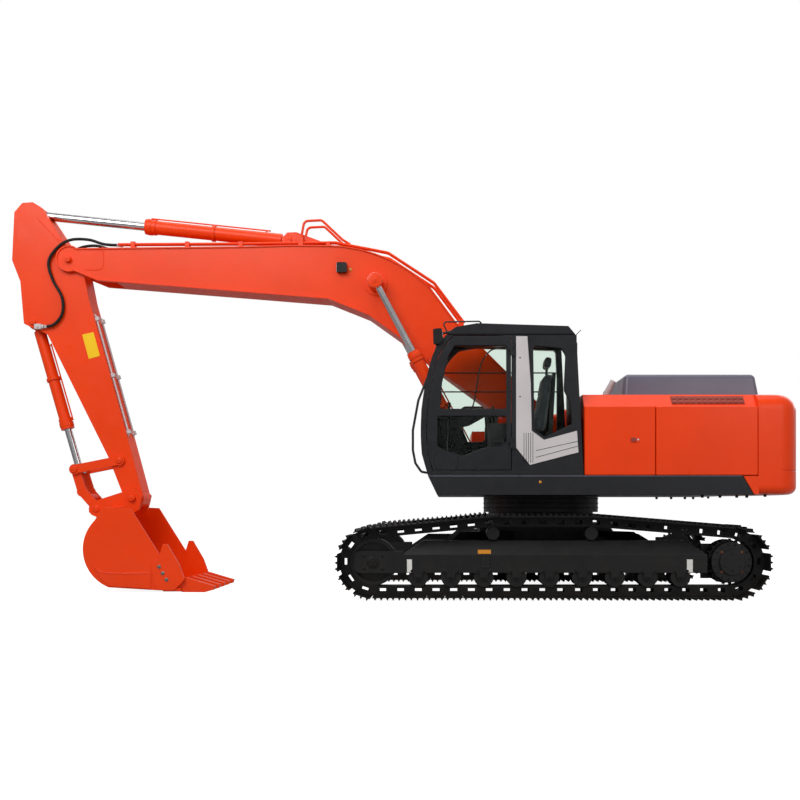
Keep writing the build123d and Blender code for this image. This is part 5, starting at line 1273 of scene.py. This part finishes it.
def studio_white(name, glow):
    """Matt white floor that keeps only a pale shadow where it is looked at."""
    material, tree, shader = new_material(name)
    set_inputs(shader, {"Base Color": (FLOOR_SHADE, FLOOR_SHADE, FLOOR_SHADE, 1.0),
                        "Roughness": 1.0, "Emission Color": STUDIO_WHITE})
    link(tree, times(tree, seen_share(tree), glow), shader.inputs["Emission Strength"])
    return material


floor_mesh = bpy.data.meshes.new("floor")
floor_mesh.from_pydata(
    [(-FLOOR_HALF, -FLOOR_HALF, 0), (FLOOR_HALF, -FLOOR_HALF, 0),
     (FLOOR_HALF, FLOOR_HALF, 0), (-FLOOR_HALF, FLOOR_HALF, 0)],
    [], [(0, 1, 2, 3)],
)
floor_object = bpy.data.objects.new("floor", floor_mesh)
floor_object.location = (0, 0, FLOOR_Z)
floor_object.data.materials.append(studio_white("floor_white", FLOOR_GLOW))
bpy.context.collection.objects.link(floor_object)

world = bpy.data.worlds.new("studio")
world.use_nodes = True
bpy.context.scene.world = world
world_tree = world.node_tree
background = world_tree.nodes["Background"]
background.inputs["Color"].default_value = STUDIO_WHITE
world_strength = ramp(world_tree, seen_share(world_tree), 0.0, 1.0, WORLD_LIGHT, 1.0)
link(world_tree, world_strength, background.inputs["Strength"])

LAMPS = (
    # name, place, point it is aimed at, its two sides in metres, power in watts
    ("key_lamp", (-5.0, -9.0, 9.0), (0, 0, 1.6), (8, 6), 850),
    ("top_lamp", (1.0, 1.0, 11.0), (0, 0, 1.5), (12, 8), 540),
    ("fill_lamp", (8.0, -9.0, 5.0), (1.5, 0, 1.5), (6, 5), 220),
    ("rear_lamp", (9.0, 6.0, 6.0), (0, 0, 1.5), (6, 6), 210),
)
for name, spot, target, (side_x, side_y), power in LAMPS:
    lamp_data = bpy.data.lights.new(name, "AREA")
    lamp_data.shape = "RECTANGLE"
    lamp_data.size = side_x
    lamp_data.size_y = side_y
    lamp_data.energy = power
    lamp = bpy.data.objects.new(name, lamp_data)
    lamp.location = spot
    lamp.rotation_euler = (Vector(target) - Vector(spot)).to_track_quat("-Z", "Y").to_euler()
    bpy.context.collection.objects.link(lamp)

bpy.context.scene.view_settings.view_transform = "Standard"
